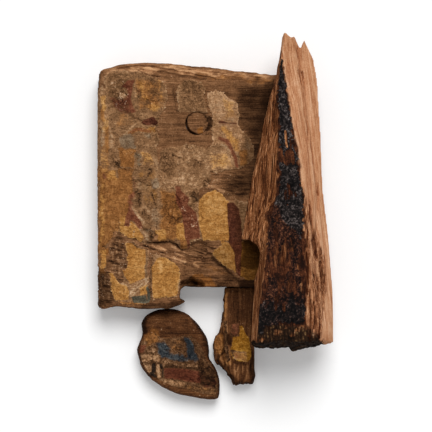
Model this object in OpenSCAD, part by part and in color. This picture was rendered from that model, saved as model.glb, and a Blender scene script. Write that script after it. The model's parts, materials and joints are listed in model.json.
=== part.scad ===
// Fragments of a painted wooden mummy case, laid out flat: a rim panel whose lid tenon is locked by a peg,
// a split timber wedge with a resin coat lying on the panel, and two small painted fragments beside it.
// Millimetres, +Z up. The origin is under the middle of the layout, on the surface that it lies on.

/* [Panel] */
// Width of the panel, along the grain
panel_w = 157; // [140:1:180]
// Height of the panel from its lowest broken edge to the top of the rim
panel_h = 182; // [165:1:205]
// Thickness of the panel board
panel_t = 28; // [22:1:36]
// Fall of the rim from its highest point to the right edge
rim_fall = 12; // [6:0.5:16]
// Width of the worn bevel along the rim
rim_bevel = 6; // [3:0.5:9]
// Radius of the rounded left arris
edge_r = 6; // [4:0.5:9]
// Radius of the upper left corner
corner_r = 8; // [4:0.5:12]
// Distance of the broken step from the left edge
step_x = 61; // [54:1:70]
// Height of the broken step above the lowest edge
step_h = 16; // [11:0.5:22]
// Length of the splinter left under the step
step_tip = 3; // [1:0.5:6]
// Depth of the torn hollow below the middle plaster
hollow_depth = 2.2; // [0.5:0.1:4]

/* [Peg and tenon] */
// Radius of the locking peg
peg_r = 7.7; // [6:0.1:9]
// Radial slack of the peg in its worn bore
peg_slack = 0.8; // [0.5:0.1:1.2]
// Distance of the peg's axis from the left edge
peg_x = 73; // [68:1:78]
// Distance of the peg's axis below the top of the rim
peg_drop = 45; // [40:1:50]
// How far the peg's face lies below the panel's face
peg_sink = 0.8; // [0:0.1:2]
// Width of the lid tenon
tenon_w = 36; // [28:1:44]
// Thickness of the lid tenon
tenon_t = 9; // [7:0.5:12]
// Length of the tenon left in the panel
tenon_len = 64; // [58:1:75]
// How far the tenon's broken end lies below the top of the rim
tenon_set = 7; // [5:0.5:10]

/* [Wedge] */
// Length of the wedge from its foot to its longest splinter
wedge_len = 232; // [205:1:255]
// Width of the wedge across its foot
wedge_w = 61; // [52:1:70]
// Height of the wedge at its foot
wedge_foot_h = 38; // [30:1:46]
// Height of the wedge at its head
wedge_head_h = 20; // [14:1:28]
// Slant of the chopped foot
foot_slant = 8; // [3:0.5:12]
// How far the chopped foot bows out between its corners
foot_bow = 4; // [1:0.5:6]
// Height of the fresh face's edge above the coated face
coat_step = 0.6; // [0.2:0.1:1.5]
// Depth of the long split in the fresh face
split_depth = 4; // [1:0.5:6]
// How far the foot hangs past the panel's right edge
wedge_overhang = 17; // [10:1:22]
// How far the foot hangs below the panel's lowest edge
wedge_drop = 29; // [22:1:36]
// Length of the gap broken out of the left flank
notch_len = 34; // [26:1:42]
// Depth of that gap past the foot's left corner
notch_depth = 7; // [4:0.5:10]
// Height of the gap above the foot
notch_y = 46; // [38:1:52]

/* [Rounded fragment] */
// Width of the rounded fragment
rounded_w = 61; // [53:1:69]
// Height of the rounded fragment
rounded_h = 68; // [59:1:77]
// Thickness of the rounded fragment
rounded_t = 16; // [11:1:22]
// Distance of the rounded fragment from the panel's left edge
rounded_x = 28.5; // [22:0.5:36]

/* [Narrow fragment] */
// Width of the narrow fragment
narrow_w = 31; // [26:1:36]
// Height of the narrow fragment
narrow_h = 71; // [62:1:80]
// Thickness of the narrow fragment
narrow_t = 18; // [13:1:22]
// Drop of the broken ledge on its left flank
ledge_drop = 5; // [3:0.5:8]

/* [Coatings] */
// Thickness of the plaster ground
plaster_t = 1.2; // [0.8:0.1:2]
// Thickness of the paint
paint_t = 0.3; // [0.2:0.05:0.6]
// Thickness of the resin coat
resin_t = 0.9; // [0.5:0.1:1.6]
// Depth of the plaster down the panel's left side
edge_skirt = 8; // [4:0.5:11]

/* [Fits] */
// Gap round the tenon and under the peg's bearing side
joint_gap = 0.3; // [0.2:0.05:0.5]
// Gap between the small fragments and the panel
fragment_gap = 0.4; // [0.3:0.05:0.8]
// Gap between the two small fragments
small_gap = 2.6; // [1.5:0.1:4]

/* [Hidden] */
$fn = 64;
over = 1;           // how far a cutter runs past the face it cuts
spline_steps = 3;   // straight pieces between two points of a smooth outline
bond = 0.02;        // air left between a curved coat and the wood under it

wood_brown = [0.42, 0.29, 0.18];
wood_dark = [0.33, 0.21, 0.12];
wood_fresh = [0.66, 0.45, 0.31];
peg_brown = [0.40, 0.27, 0.17];
ochre = [0.66, 0.46, 0.22];
tan = [0.60, 0.45, 0.30];
red = [0.40, 0.18, 0.13];
blue = [0.27, 0.33, 0.35];
black = [0.11, 0.09, 0.08];

// A point of a smooth curve between b and c, with a and d the points either side of them
function curve_point(a, b, c, d, t) =
    0.5 * (2 * b + (c - a) * t + (2 * a - 5 * b + 4 * c - d) * t * t + (3 * b - a - 3 * c + d) * t * t * t);

// A closed outline drawn smoothly through a few points
function smooth_loop(p) = let (n = len(p)) [
    for (i = [0 : n - 1], k = [0 : spline_steps - 1])
        curve_point(p[(i + n - 1) % n], p[i], p[(i + 1) % n], p[(i + 2) % n], k / spline_steps)
];

// Outline points given in hundredths of a piece's width and height
function sized(p, w, h) = [for (q = p) [q[0] / 100 * w, q[1] / 100 * h]];
function on_panel(p) = sized(p, panel_w, panel_h);
function on_rounded(p) = sized(p, rounded_w, rounded_h);
function on_narrow(p) = sized(p, narrow_w, narrow_h);

// The places where an outline crosses a level line
function crossings(p, y) = [
    for (i = [0 : len(p) - 1])
        let (a = p[i], b = p[(i + 1) % len(p)])
            if ((a[1] - y) * (b[1] - y) <= 0 && a[1] != b[1])
                a[0] + (b[0] - a[0]) * (y - a[1]) / (b[1] - a[1])
];

// The panel's outline: rounded corner, falling rim, cut right edge and broken foot
corner_y = panel_h - 0.35 * rim_fall - corner_r;
corner_arc = [for (a = [180 : -15 : 90]) [corner_r + corner_r * cos(a), corner_y + corner_r * sin(a)]];
rim_shares = [
    [0.1, 0.17], [0.15, 0.08], [0.22, 0], [0.33, 0.04], [0.43, 0.16], [0.55, 0.32], [0.67, 0.52], [1, 1]
];
step_shares = [[1.2, 0.97], [1.05, 1], [0.99, 0.87], [0.98, 0.42]];
foot_shares = [[0.98, 0.14], [0.82, 0], [0.5, 0], [0.25, 0.08], [0, 0]];
panel_outline = concat(
    corner_arc,
    [for (p = rim_shares) [p[0] * panel_w, panel_h - p[1] * rim_fall]],
    [[panel_w, step_h]],
    [for (p = step_shares) [p[0] * step_x, p[1] * step_h]],
    [[step_x + step_tip, 0.3 * step_h]],
    [for (p = foot_shares) [p[0] * step_x, p[1] * step_h]]
);

// The peg leans on one side of its bore, so the slack opens on the other
peg_y = panel_h - peg_drop;
bore_r = peg_r + peg_slack;
peg_lean = (peg_slack - joint_gap) * [cos(35), sin(35)];
mortise_z = (panel_t - tenon_t) / 2;
tenon_top = panel_h - tenon_set;

// Heights at which the coats and the wedge lie
face_z = panel_t;
paint_z = face_z + plaster_t;
wedge_z = paint_z + paint_t;

// Plaster islands on the panel, in hundredths of its width and height
island_left_shares = [
    [5, 94], [10, 96], [20, 96], [28, 94], [29.5, 87], [28, 80], [29, 75], [27, 67],
    [28, 59], [27, 49], [25.5, 33], [19, 29.5], [13, 31], [9, 28.5], [5, 29.5]
];
island_centre_shares = [
    [30, 66], [41, 66.5], [49, 65], [49.7, 59], [52, 55], [51.5, 50], [46.5, 48], [47.5, 39],
    [48.5, 28.5], [41, 26], [34, 28], [27, 28], [28, 39], [29.5, 51]
];
island_by_peg_shares = [
    [36, 90], [39.5, 92.5], [47, 92.5], [48.7, 89], [48, 84.5], [46, 82], [41, 80.5], [38.5, 78.5], [36.7, 84]
];
island_upper_right_shares = [
    [51, 88.5], [55, 89], [61, 86.5], [66, 84], [66.5, 78], [68, 74], [71.5, 70], [74, 65], [72.5, 59.5],
    [67, 57], [61, 56.5], [54, 57], [51.5, 61], [50.5, 66], [52, 71], [53, 77], [50.5, 83]
];
island_lower_right_shares = [
    [48.7, 43], [51.3, 47.5], [55, 48.5], [60, 46], [67, 44.5], [77, 42], [88, 36], [88, 14], [75, 10.7],
    [67, 11], [60, 15], [53, 21.5], [56, 25], [58, 27.5], [50, 28]
];
island_foot_left_shares = [
    [13.5, 27], [20, 26], [24, 23.5], [24.5, 14], [24, 4], [20, 2.6], [12, 2.8], [6.5, 5.5], [6.5, 12],
    [13, 11.5], [13, 19.5]
];
island_foot_right_shares = [[25.5, 23.5], [31.5, 21], [38, 18], [38, 8], [36, 4.5], [29, 5.2], [25.5, 3.6]];

// The torn hollow between the islands, in the same hundredths
hollow_shares = [
    [26, 25], [27, 27.2], [34, 27.2], [41, 25.2], [48, 27.5], [51.5, 26.5], [51.5, 22.5], [48, 20], [43, 19.2],
    [38.5, 20], [32, 22.7]
];

// Brush strokes on those islands, in the same hundredths
stroke_centre_shares = [
    [36, 51], [40, 50], [43, 41], [46, 35.5], [47.5, 29], [41, 28.3], [39.5, 37], [37, 43.5]
];
stroke_right_shares = [
    [60.7, 44.5], [65, 43.5], [76, 40], [76, 30], [66.8, 29], [66.8, 19.5], [64.5, 19.5], [61.7, 30.5]
];
stroke_curved_shares = [[55.5, 70.5], [60, 69.5], [64, 65], [66, 59], [63.5, 58], [61.7, 63.5], [57.5, 68]];
stroke_forked_shares = [
    [15, 49.5], [17, 48.5], [16.5, 40.5], [21.7, 34], [19.3, 33], [15.5, 37], [13.2, 34], [11.8, 35]
];
stroke_upper_shares = [
    [11, 92.5], [16.5, 93.3], [16.5, 85], [20, 78.7], [27.5, 76.7], [27, 75], [20, 75.4], [12.7, 80.3], [6, 82],
    [7, 85], [13, 86]
];
blot_left_shares = [[9.5, 70], [18, 70.5], [19, 66.5], [10.5, 65.7]];
blot_foot_shares = [[16.5, 5.2], [24, 6], [23.8, 4], [17, 3]];
bar_upper_shares = [[53.7, 76.7], [65, 77], [66, 75], [54, 75]];

// The wedge's stations: distance from the foot in hundredths of the length, then in hundredths of the width
// the left foot edge, the two arrises of the coated face, the right foot edge, and the near lip, the floor and
// the far lip of the split in the fresh face. The flank runs out to a fin that ends at the broken gap
fin_end = 100 * (notch_y + notch_len) / wedge_len;
station_shares = [
    [0, 0, 6, 82, 100, 85, 88, 91], [19, 4, 13, 73, 99, 77, 83, 87], [fin_end, -12, 18, 66, 94, 70, 77, 82],
    [50, -2, 33, 62, 88, 76, 80, 83], [69, 13, 33, 51, 85, 70, 73, 76], [85, 28, 33, 41, 81, 60, 63.5, 66.5],
    [91, 34, 35, 38, 77, 55.5, 58.5, 62], [100, 38, 40, 42, 74, 49, 52, 56]
];
splinter_shares = [
    [30, 102], [36, 97], [40.5, 100], [47.5, 98.3], [52.5, 99], [59, 94.5], [64.5, 98], [72, 93.7], [77, 91],
    [95, 91], [95, 102]
];
function lane(v, column) = lookup(v, [for (s = station_shares) [s[0], s[column]]]) / 100 * wedge_w;
function coat_z(y) = wedge_z + wedge_foot_h + (wedge_head_h - wedge_foot_h) * y / wedge_len;

step_run = 0.5;                 // run of the step up to the fresh face
far_sink = 0.4 * split_depth;   // the fresh face lies lower beyond the split

// A point of the fresh face between its edge and the right foot edge, sunk below the line between them
function fresh_point(edge, foot, x, sink) = let (share = (x - edge[0]) / (foot[0] - edge[0]))
    edge + share * (foot - edge) - [0, 0, sink];

// One station's ring: the middle of the underside, the flank, the coated face and the fresh face
function wedge_ring(s) = let (
    y = s[0] / 100 * wedge_len,
    low_y = max(y, foot_bow),
    top_y = max(y, foot_slant),
    edge = [lane(s[0], 3) + step_run, top_y, coat_z(top_y) + coat_step],
    foot = [lane(s[0], 4), low_y, wedge_z]
) [
    [(lane(s[0], 1) + lane(s[0], 4)) / 2, y, wedge_z],
    [lane(s[0], 1), low_y, wedge_z],
    [lane(s[0], 2), top_y, coat_z(top_y)],
    [lane(s[0], 3), top_y, coat_z(top_y)],
    edge,
    fresh_point(edge, foot, lane(s[0], 5), 0),
    fresh_point(edge, foot, lane(s[0], 6), split_depth),
    fresh_point(edge, foot, lane(s[0], 7), far_sink),
    foot
];

// Resin strips on the coated face: lower end, upper end and inset of their sides
resin_shares = [[5, 15, 2], [17, 33, 5], [35, 88, 1.2]];

// Outlines of the small fragments, in hundredths of their width and height
rounded_shares = [
    [34.5, 100], [58, 95.5], [70.5, 85.5], [82.5, 72], [87.5, 58], [88, 45.5], [94, 38], [100, 23], [100, 8],
    [95.5, 0], [64, 3.3], [39.5, 10], [17, 22], [5, 35.5], [2.5, 45], [0, 55.5], [6, 73], [5, 83.5], [13.5, 94]
];
narrow_shares = [
    [31, 100], [26, 72], [17, 53], [5, 48], [0, 38.5], [2, 27], [9, 20], [31, 12.5], [43, 7.3], [52, 0],
    [71.5, 0.6], [83, 2], [90, 0.6], [100, 8.5], [99, 35.5], [100, 100]
];
narrow_top_shares = [
    [31, 100], [26, 72], [24, 62], [25, 41], [31, 23], [43, 10], [53, 2],
    [71.5, 2], [83, 3], [90, 2], [98, 9], [98, 35.5], [99, 100]
];
rounded_plaster_shares = [
    [7, 56.5], [17, 62], [49.5, 67.5], [70.5, 66.5], [79, 57.5], [81.5, 44.5], [90, 35.5], [93, 24.5], [93, 8],
    [83, 7], [58, 12], [37, 17.5], [22, 26], [12.5, 36.5], [8, 46.5]
];
rounded_blue_shares = [
    [23.5, 59], [38.5, 60], [43, 49], [57, 49], [55.5, 65], [64.5, 63], [74, 51], [73, 40], [59.5, 41],
    [37, 44.5], [24.5, 49]
];
rounded_red_shares = [[33, 34.5], [70.5, 32], [89, 28], [91, 12], [80, 14], [64, 17], [52, 20], [32, 22.5]];
rounded_bar_shares = [
    [[16, 38], [22, 37.5], [22.3, 28], [18, 32]],
    [[27, 36.5], [30.5, 35.5], [30, 23.5], [26.5, 24.5]]
];
narrow_plaster_shares = [[27, 66], [31, 67], [36, 41], [41, 23], [33, 22], [28, 41]];
narrow_chip_shares = [[3, 44], [12, 48], [20, 46], [21, 36], [24, 26], [12, 21.5], [3.5, 30]];
narrow_yellow_shares = [
    [48, 49], [66, 50], [70, 60.5], [81, 52], [88, 41], [92, 29], [86, 23], [60, 24], [44, 29], [41, 39],
    [48, 46]
];
narrow_red_shares = [[43, 65], [62, 67], [64, 52], [49, 51]];

// Places of the loose pieces, measured from the panel's left edge and lowest edge
rounded_loop = on_rounded(smooth_loop(rounded_shares));
narrow_loop = on_narrow(narrow_shares);
rounded_y = -fragment_gap - rounded_h;
narrow_y = 0.97 * step_h - fragment_gap - narrow_h;
levels = [for (k = [1 : 39]) rounded_y + k / 40 * rounded_h];
crowding = [
    for (y = levels)
        let (right = crossings(rounded_loop, y - rounded_y), left = crossings(narrow_loop, y - narrow_y))
            if (len(right) > 0 && len(left) > 0) rounded_x + max(right) - min(left)
];
narrow_x = max(crowding) + small_gap;
wedge_x = panel_w + wedge_overhang - wedge_w;
wedge_y = -wedge_drop;

// The middle of the whole layout, which is put over the origin
layout_left = -plaster_t - bond;
layout_right = panel_w + wedge_overhang;
layout_low = rounded_y + min([for (p = rounded_loop) p[1]]);
layout_high = wedge_y + wedge_len;
layout_mid = [(layout_left + layout_right) / 2, (layout_low + layout_high) / 2, 0];

module in_layout(x = 0, y = 0, z = 0) {
    translate([x, y, z] - layout_mid) children();
}

// The triangles between neighbouring rings of n points each
function ring_sides(n, last) = [
    for (r = [0 : last - 1], k = [0 : n - 1])
        let (a = r * n + k, b = r * n + (k + 1) % n)
            each [[a, b, b + n], [a, b + n, a + n]]
];

// A solid through flat rings of equally many points, closed at both ends
module loft(rings) {
    n = len(rings[0]);
    last = len(rings) - 1;
    near_end = [for (k = [n - 1 : -1 : 0]) k];
    far_end = [for (k = [0 : n - 1]) last * n + k];
    polyhedron([for (r = rings) each r], concat(ring_sides(n, last), [near_end, far_end]));
}

// The same through rings that need not be flat: each end is a fan from its ring's first point
module fan_loft(rings) {
    n = len(rings[0]);
    last = len(rings) - 1;
    start = last * n;
    near_end = [for (k = [1 : n - 2]) [0, k + 1, k]];
    far_end = [for (k = [1 : n - 2]) [start, start + k, start + k + 1]];
    polyhedron([for (r = rings) each r], concat(ring_sides(n, last), near_end, far_end));
}

// One ring of a flat outline, drawn in about its middle and set at a height
function ring_at(p, size, share, z) = [for (q = p) [each size / 2 + (q - size / 2) * share, z]];

module panel_blank() {
    linear_extrude(panel_t) polygon(panel_outline);
}

module peg_bore(r) {
    translate([peg_x, peg_y, -over]) cylinder(r = r, h = panel_t + plaster_t + paint_t + 2 * over);
}

module left_arris_cutter() {
    translate([-over, -over, panel_t - edge_r]) difference() {
        cube([edge_r + over, panel_h + 2 * over, edge_r + over]);
        translate([edge_r + over, -over, 0]) rotate([-90, 0, 0]) cylinder(r = edge_r, h = panel_h + 4 * over);
    }
}

module rim_bevel_cutter() {
    slope = atan(rim_fall / panel_w);
    translate([0, panel_h - rim_bevel, panel_t]) rotate([0, 0, -slope]) rotate([-40, 0, 0])
        translate([-panel_w, 0, 0]) cube([3 * panel_w, panel_t, panel_t]);
}

module mortise() {
    low = tenon_top - tenon_len - joint_gap;
    translate([peg_x - tenon_w / 2 - joint_gap, low, mortise_z - joint_gap])
        cube([tenon_w + 2 * joint_gap, panel_h + over - low, tenon_t + 2 * joint_gap]);
}

module torn_hollow() {
    translate([0, 0, panel_t - hollow_depth]) linear_extrude(hollow_depth + over)
        polygon(on_panel(hollow_shares));
}

module panel_board() {
    color(wood_brown) in_layout() difference() {
        panel_blank();
        left_arris_cutter();
        rim_bevel_cutter();
        mortise();
        peg_bore(bore_r);
        torn_hollow();
    }
}

module locking_peg() {
    color(peg_brown) in_layout(peg_x + peg_lean[0], peg_y + peg_lean[1], joint_gap)
        cylinder(r = peg_r, h = panel_t - peg_sink - joint_gap);
}

// The tenon's upper end is snapped off in steps across the grain
module lid_tenon() {
    snapped = [
        [0, 0], [1, 0], [1, 0.92], [0.8, 0.97], [0.55, 0.9], [0.35, 1], [0.15, 0.95], [0, 0.94]
    ];
    color(peg_brown) in_layout() difference() {
        translate([peg_x - tenon_w / 2, tenon_top - tenon_len, mortise_z]) linear_extrude(tenon_t)
            polygon([for (p = snapped) [p[0] * tenon_w, p[1] * tenon_len]]);
        peg_bore(bore_r);
    }
}

// The coat that turns over the left arris and a little way down the side
module plaster_edge() {
    low = 0.3 * panel_h;
    length = tenon_top - corner_r - low;
    r = edge_r + bond;
    color(ochre) in_layout(edge_r, low + length, panel_t - edge_r) rotate([90, 0, 0]) linear_extrude(length) {
        intersection() {
            difference() {
                circle(r + plaster_t);
                circle(r);
            }
            translate([-2 * edge_r, 0]) square(2 * edge_r);
        }
        translate([-r - plaster_t, -edge_skirt]) square([plaster_t, edge_skirt]);
    }
}

// A coat on the panel's face, kept within the board and clear of the peg
module face_coat(outline, z, t) {
    in_layout(0, 0, z) intersection() {
        linear_extrude(t) polygon(outline);
        difference() {
            linear_extrude(t) polygon(panel_outline);
            translate([0, 0, -panel_t]) peg_bore(bore_r + joint_gap);
        }
    }
}

module island(outline, tint) {
    color(tint) face_coat(on_panel(outline), face_z, plaster_t);
}

// A stroke of paint, kept within the island that carries it
module stroke(outline, carrier, tint) {
    color(tint) intersection() {
        face_coat(on_panel(outline), paint_z, paint_t);
        in_layout(0, 0, paint_z) linear_extrude(paint_t) polygon(on_panel(carrier));
    }
}

module panel_red_paint() {
    stroke(stroke_centre_shares, island_centre_shares, red);
    stroke(stroke_right_shares, island_lower_right_shares, red);
    stroke(stroke_curved_shares, island_upper_right_shares, red);
    stroke(stroke_forked_shares, island_left_shares, red);
    stroke(stroke_upper_shares, island_left_shares, red);
}

module panel_blue_paint() {
    stroke(blot_left_shares, island_left_shares, blue);
    stroke(blot_foot_shares, island_foot_left_shares, blue);
    stroke(bar_upper_shares, island_upper_right_shares, blue);
}

module wedge_notch() {
    broken = [[-2, 1], [0, 1], [0.75, 0.88], [1, 0.74], [0.85, 0.41], [0.45, 0.15], [0.15, -0.06], [-2, -0.12]];
    in_layout(wedge_x, wedge_y, wedge_z - over) linear_extrude(wedge_foot_h + 2 * over)
        polygon([for (p = broken) [p[0] * notch_depth, notch_y + p[1] * notch_len]]);
}

module wedge_splinters() {
    in_layout(wedge_x, wedge_y, wedge_z - over) linear_extrude(wedge_foot_h + 2 * over)
        polygon(sized(splinter_shares, wedge_w, wedge_len));
}

module wedge_timber() {
    color(wood_fresh) difference() {
        in_layout(wedge_x, wedge_y) fan_loft([for (s = station_shares) wedge_ring(s)]);
        wedge_notch();
        wedge_splinters();
    }
}

// A strip of resin between two distances along the wedge, on the sloping face
module resin_strip(low, high, inset) {
    rows = concat([low], [for (s = station_shares) if (s[0] > low && s[0] < high) s[0]], [high]);
    left = [for (v = rows) [lane(v, 2) + inset / 100 * wedge_w, v / 100 * wedge_len]];
    right = [for (v = rows) [lane(v, 3) - inset / 100 * wedge_w, v / 100 * wedge_len]];
    outline = concat(left, [for (k = [len(right) - 1 : -1 : 0]) right[k]]);
    loft([for (z = [0, resin_t]) [for (p = outline) [p[0], p[1], coat_z(p[1]) + z]]]);
}

module wedge_resin() {
    color(black) in_layout(wedge_x, wedge_y) for (s = resin_shares) resin_strip(s[0], s[1], s[2]);
}

module rounded_wood() {
    size = [rounded_w, rounded_h];
    color(wood_dark) in_layout(rounded_x, rounded_y) loft([
        ring_at(rounded_loop, size, 0.94, 0), ring_at(rounded_loop, size, 1, 0.5 * rounded_t),
        ring_at(rounded_loop, size, 0.99, 0.75 * rounded_t), ring_at(rounded_loop, size, 0.94, rounded_t)
    ]);
}

module rounded_coat(outline, z, t) {
    in_layout(rounded_x, rounded_y, z) linear_extrude(t) polygon(on_rounded(outline));
}

module rounded_plaster() {
    color(tan) rounded_coat(rounded_plaster_shares, rounded_t, plaster_t);
}

module rounded_blue_paint() {
    color(blue) rounded_coat(rounded_blue_shares, rounded_t + plaster_t, paint_t);
}

module rounded_red_paint() {
    color(red) rounded_coat(rounded_red_shares, rounded_t + plaster_t, paint_t);
}

module rounded_black_paint() {
    color(black) for (bar = rounded_bar_shares) rounded_coat(bar, rounded_t + plaster_t, paint_t);
}

module narrow_wood() {
    color(wood_dark) in_layout(narrow_x, narrow_y) {
        linear_extrude(narrow_t - ledge_drop) polygon(narrow_loop);
        linear_extrude(narrow_t) polygon(on_narrow(narrow_top_shares));
    }
}

module narrow_coat(outline, z, t) {
    in_layout(narrow_x, narrow_y, z) linear_extrude(t) polygon(on_narrow(outline));
}

module narrow_plaster() {
    color(tan) narrow_coat(narrow_plaster_shares, narrow_t, plaster_t);
}

module narrow_chip() {
    color(tan) narrow_coat(narrow_chip_shares, narrow_t - ledge_drop, plaster_t);
}

module narrow_yellow_paint() {
    color(ochre) narrow_coat(narrow_yellow_shares, narrow_t, plaster_t);
}

module narrow_red_paint() {
    color(red) narrow_coat(narrow_red_shares, narrow_t, paint_t);
}

panel_board();
locking_peg();
lid_tenon();
plaster_edge();
island(island_left_shares, ochre);  // plaster_left
island(island_centre_shares, tan);  // plaster_centre
island(island_by_peg_shares, wood_brown);  // plaster_by_peg
island(island_upper_right_shares, tan);  // plaster_upper_right
island(island_lower_right_shares, ochre);  // plaster_lower_right
island(island_foot_left_shares, ochre);  // plaster_foot_left
island(island_foot_right_shares, ochre);  // plaster_foot_right
panel_red_paint();
panel_blue_paint();
wedge_timber();
wedge_resin();
rounded_wood();
rounded_plaster();
rounded_blue_paint();
rounded_red_paint();
rounded_black_paint();
narrow_wood();
narrow_plaster();
narrow_chip();
narrow_yellow_paint();
narrow_red_paint();
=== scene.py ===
import json
import math

import bpy
import numpy as np
from mathutils.bvhtree import BVHTree
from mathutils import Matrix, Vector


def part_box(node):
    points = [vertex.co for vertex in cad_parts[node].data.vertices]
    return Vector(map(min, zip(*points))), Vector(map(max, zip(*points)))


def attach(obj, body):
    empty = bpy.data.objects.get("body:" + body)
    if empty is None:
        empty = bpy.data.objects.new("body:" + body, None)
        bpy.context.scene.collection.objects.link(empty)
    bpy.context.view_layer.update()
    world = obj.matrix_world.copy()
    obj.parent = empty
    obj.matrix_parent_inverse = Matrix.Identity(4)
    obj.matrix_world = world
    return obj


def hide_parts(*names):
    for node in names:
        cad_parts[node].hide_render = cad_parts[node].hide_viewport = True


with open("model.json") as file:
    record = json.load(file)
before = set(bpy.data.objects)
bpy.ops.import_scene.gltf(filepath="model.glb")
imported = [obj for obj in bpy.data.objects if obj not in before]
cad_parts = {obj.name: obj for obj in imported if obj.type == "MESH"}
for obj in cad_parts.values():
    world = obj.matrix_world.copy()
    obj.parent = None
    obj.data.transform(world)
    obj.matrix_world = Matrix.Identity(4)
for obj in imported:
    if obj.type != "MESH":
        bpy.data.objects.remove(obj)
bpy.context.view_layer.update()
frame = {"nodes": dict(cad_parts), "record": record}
print("frame loaded")

# The picture is 432 x 432, taken straight down. Outlines and marks below are places in that picture.
picture = {"side": 432, "pixel": 0.00075, "height": 2.0, "x": 0.0008, "y": 0.0012}


def toPicture(p):
    reach = picture["height"] / (picture["height"] - p[:, 2]) / picture["pixel"]
    middle = picture["side"] / 2
    return middle + (p[:, 0] - picture["x"]) * reach, middle - (p[:, 1] - picture["y"]) * reach


def fromPicture(u, v, z):
    reach = picture["height"] / (picture["height"] - z) / picture["pixel"]
    middle = picture["side"] / 2
    return picture["x"] + (u - middle) / reach, picture["y"] + (middle - v) / reach


# noise and brush fields, worked out for all points of a mesh at once
def lattice(ix, iy, iz, seed):
    n = (ix * 374761393 + iy * 668265263 + iz * 1274126177 + seed * 974634777) & 0xFFFFFFFF
    n = ((n ^ (n >> 13)) * 1103515245) & 0xFFFFFFFF
    n = ((n ^ (n >> 16)) * 2246822519) & 0xFFFFFFFF
    return ((n ^ (n >> 15)) & 0xFFFFFF) / 0xFFFFFF


def softNoise(x, y, z, seed):
    cell = [np.floor(a).astype(np.int64) for a in (x, y, z)]
    f = [a - c for a, c in zip((x, y, z), cell)]
    f = [a * a * (3 - 2 * a) for a in f]
    total = 0
    for dx in (0, 1):
        for dy in (0, 1):
            for dz in (0, 1):
                weight = (f[0] if dx else 1 - f[0]) * (f[1] if dy else 1 - f[1]) * (f[2] if dz else 1 - f[2])
                total = total + weight * lattice(cell[0] + dx, cell[1] + dy, cell[2] + dz, seed)
    return total


def noiseAt(p, scale, seed, octaves=3):
    scale = np.broadcast_to(np.asarray(scale, float), (3,))
    total, size, weight = 0, 1.0, 0
    for k in range(octaves):
        q = p * scale * size
        total = total + softNoise(q[:, 0], q[:, 1], q[:, 2], seed + k) / size
        weight += 1 / size
        size *= 2.0
    return total / weight


def smooth(a, low, high):
    t = np.clip((a - low) / (high - low), 0, 1)
    return t * t * (3 - 2 * t)


def lineDistance(u, v, points):
    best = np.full(u.shape, 1e9)
    for (ax, ay), (bx, by) in zip(points[:-1], points[1:]):
        ex, ey = bx - ax, by - ay
        t = np.clip(((u - ax) * ex + (v - ay) * ey) / (ex * ex + ey * ey), 0, 1)
        best = np.minimum(best, np.hypot(u - ax - t * ex, v - ay - t * ey))
    return best


def patchDistance(u, v, points):
    inside = np.zeros(u.shape, bool)
    ring = list(points) + [points[0]]
    for (ax, ay), (bx, by) in zip(ring[:-1], ring[1:]):
        if ay != by:
            crossing = (ay > v) != (by > v)
            inside ^= crossing & (u < (bx - ax) * (v - ay) / (by - ay) + ax)
    gap = lineDistance(u, v, ring)
    return np.where(inside, -gap, gap)


def brushed(u, v, marks, loose=None):
    total = np.zeros(u.shape)
    crisp = (u, v)
    for mark in marks:
        soft = mark["soft"]
        u, v = loose if loose and soft >= 2 else crisp
        if "line" in mark:
            gap = lineDistance(u, v, mark["line"]) - mark["wide"] / 2
        else:
            gap = patchDistance(u, v, mark["patch"])
        total = np.maximum(total, mark["much"] * (1 - smooth(gap, -soft, soft)))
    return total


def wavering(p, u, v, size, seed=5):
    du = noiseAt(p, 160, seed) - 0.5
    dv = noiseAt(p, 160, seed + 40) - 0.5
    return u + du * 2 * size, v + dv * 2 * size


# handling of objects
def pickOnly(obj):
    if bpy.context.object and bpy.context.object.mode != "OBJECT":
        bpy.ops.object.mode_set(mode="OBJECT")
    bpy.ops.object.select_all(action="DESELECT")
    obj.select_set(True)
    bpy.context.view_layer.objects.active = obj


def copyOfNode(node, name):
    obj = bpy.data.objects.new(name, frame["nodes"][node].data.copy())
    bpy.context.collection.objects.link(obj)
    obj.data.materials.clear()
    pickOnly(obj)
    bpy.ops.object.mode_set(mode="EDIT")
    bpy.ops.mesh.select_all(action="SELECT")
    bpy.ops.mesh.remove_doubles(threshold=0.000002)
    bpy.ops.object.mode_set(mode="OBJECT")
    return obj


def finishWith(obj, kind, **settings):
    pickOnly(obj)
    bpy.ops.object.modifier_add(type=kind)
    modifier = obj.modifiers[-1]
    for key, value in settings.items():
        setattr(modifier, key, value)
    bpy.ops.object.modifier_apply(modifier=modifier.name)


def voxelSkin(obj, size, soften=2):
    finishWith(obj, "REMESH", mode="VOXEL", voxel_size=size, adaptivity=0)
    finishWith(obj, "SMOOTH", factor=0.5, iterations=soften)


def pointsOf(obj):
    p = np.empty(len(obj.data.vertices) * 3)
    obj.data.vertices.foreach_get("co", p)
    return p.reshape(-1, 3)


def normalsOf(obj):
    n = np.empty(len(obj.data.vertices) * 3)
    obj.data.vertex_normals.foreach_get("vector", n)
    return n.reshape(-1, 3)


def movePoints(obj, p):
    obj.data.vertices.foreach_set("co", np.ascontiguousarray(p).ravel())
    obj.data.update()


def storeMask(obj, name, values):
    layer = obj.data.attributes.new(name, "FLOAT", "POINT")
    layer.data.foreach_set("value", np.clip(values, 0, 1).astype(np.float32))


def shadeSmooth(obj, angle=50):
    pickOnly(obj)
    bpy.ops.object.shade_smooth_by_angle(angle=math.radians(angle))


def settle(obj, body, finish, slot, *nodes):
    obj.data.materials.append(finish.material)
    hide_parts(*nodes)
    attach(obj, body)


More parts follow.
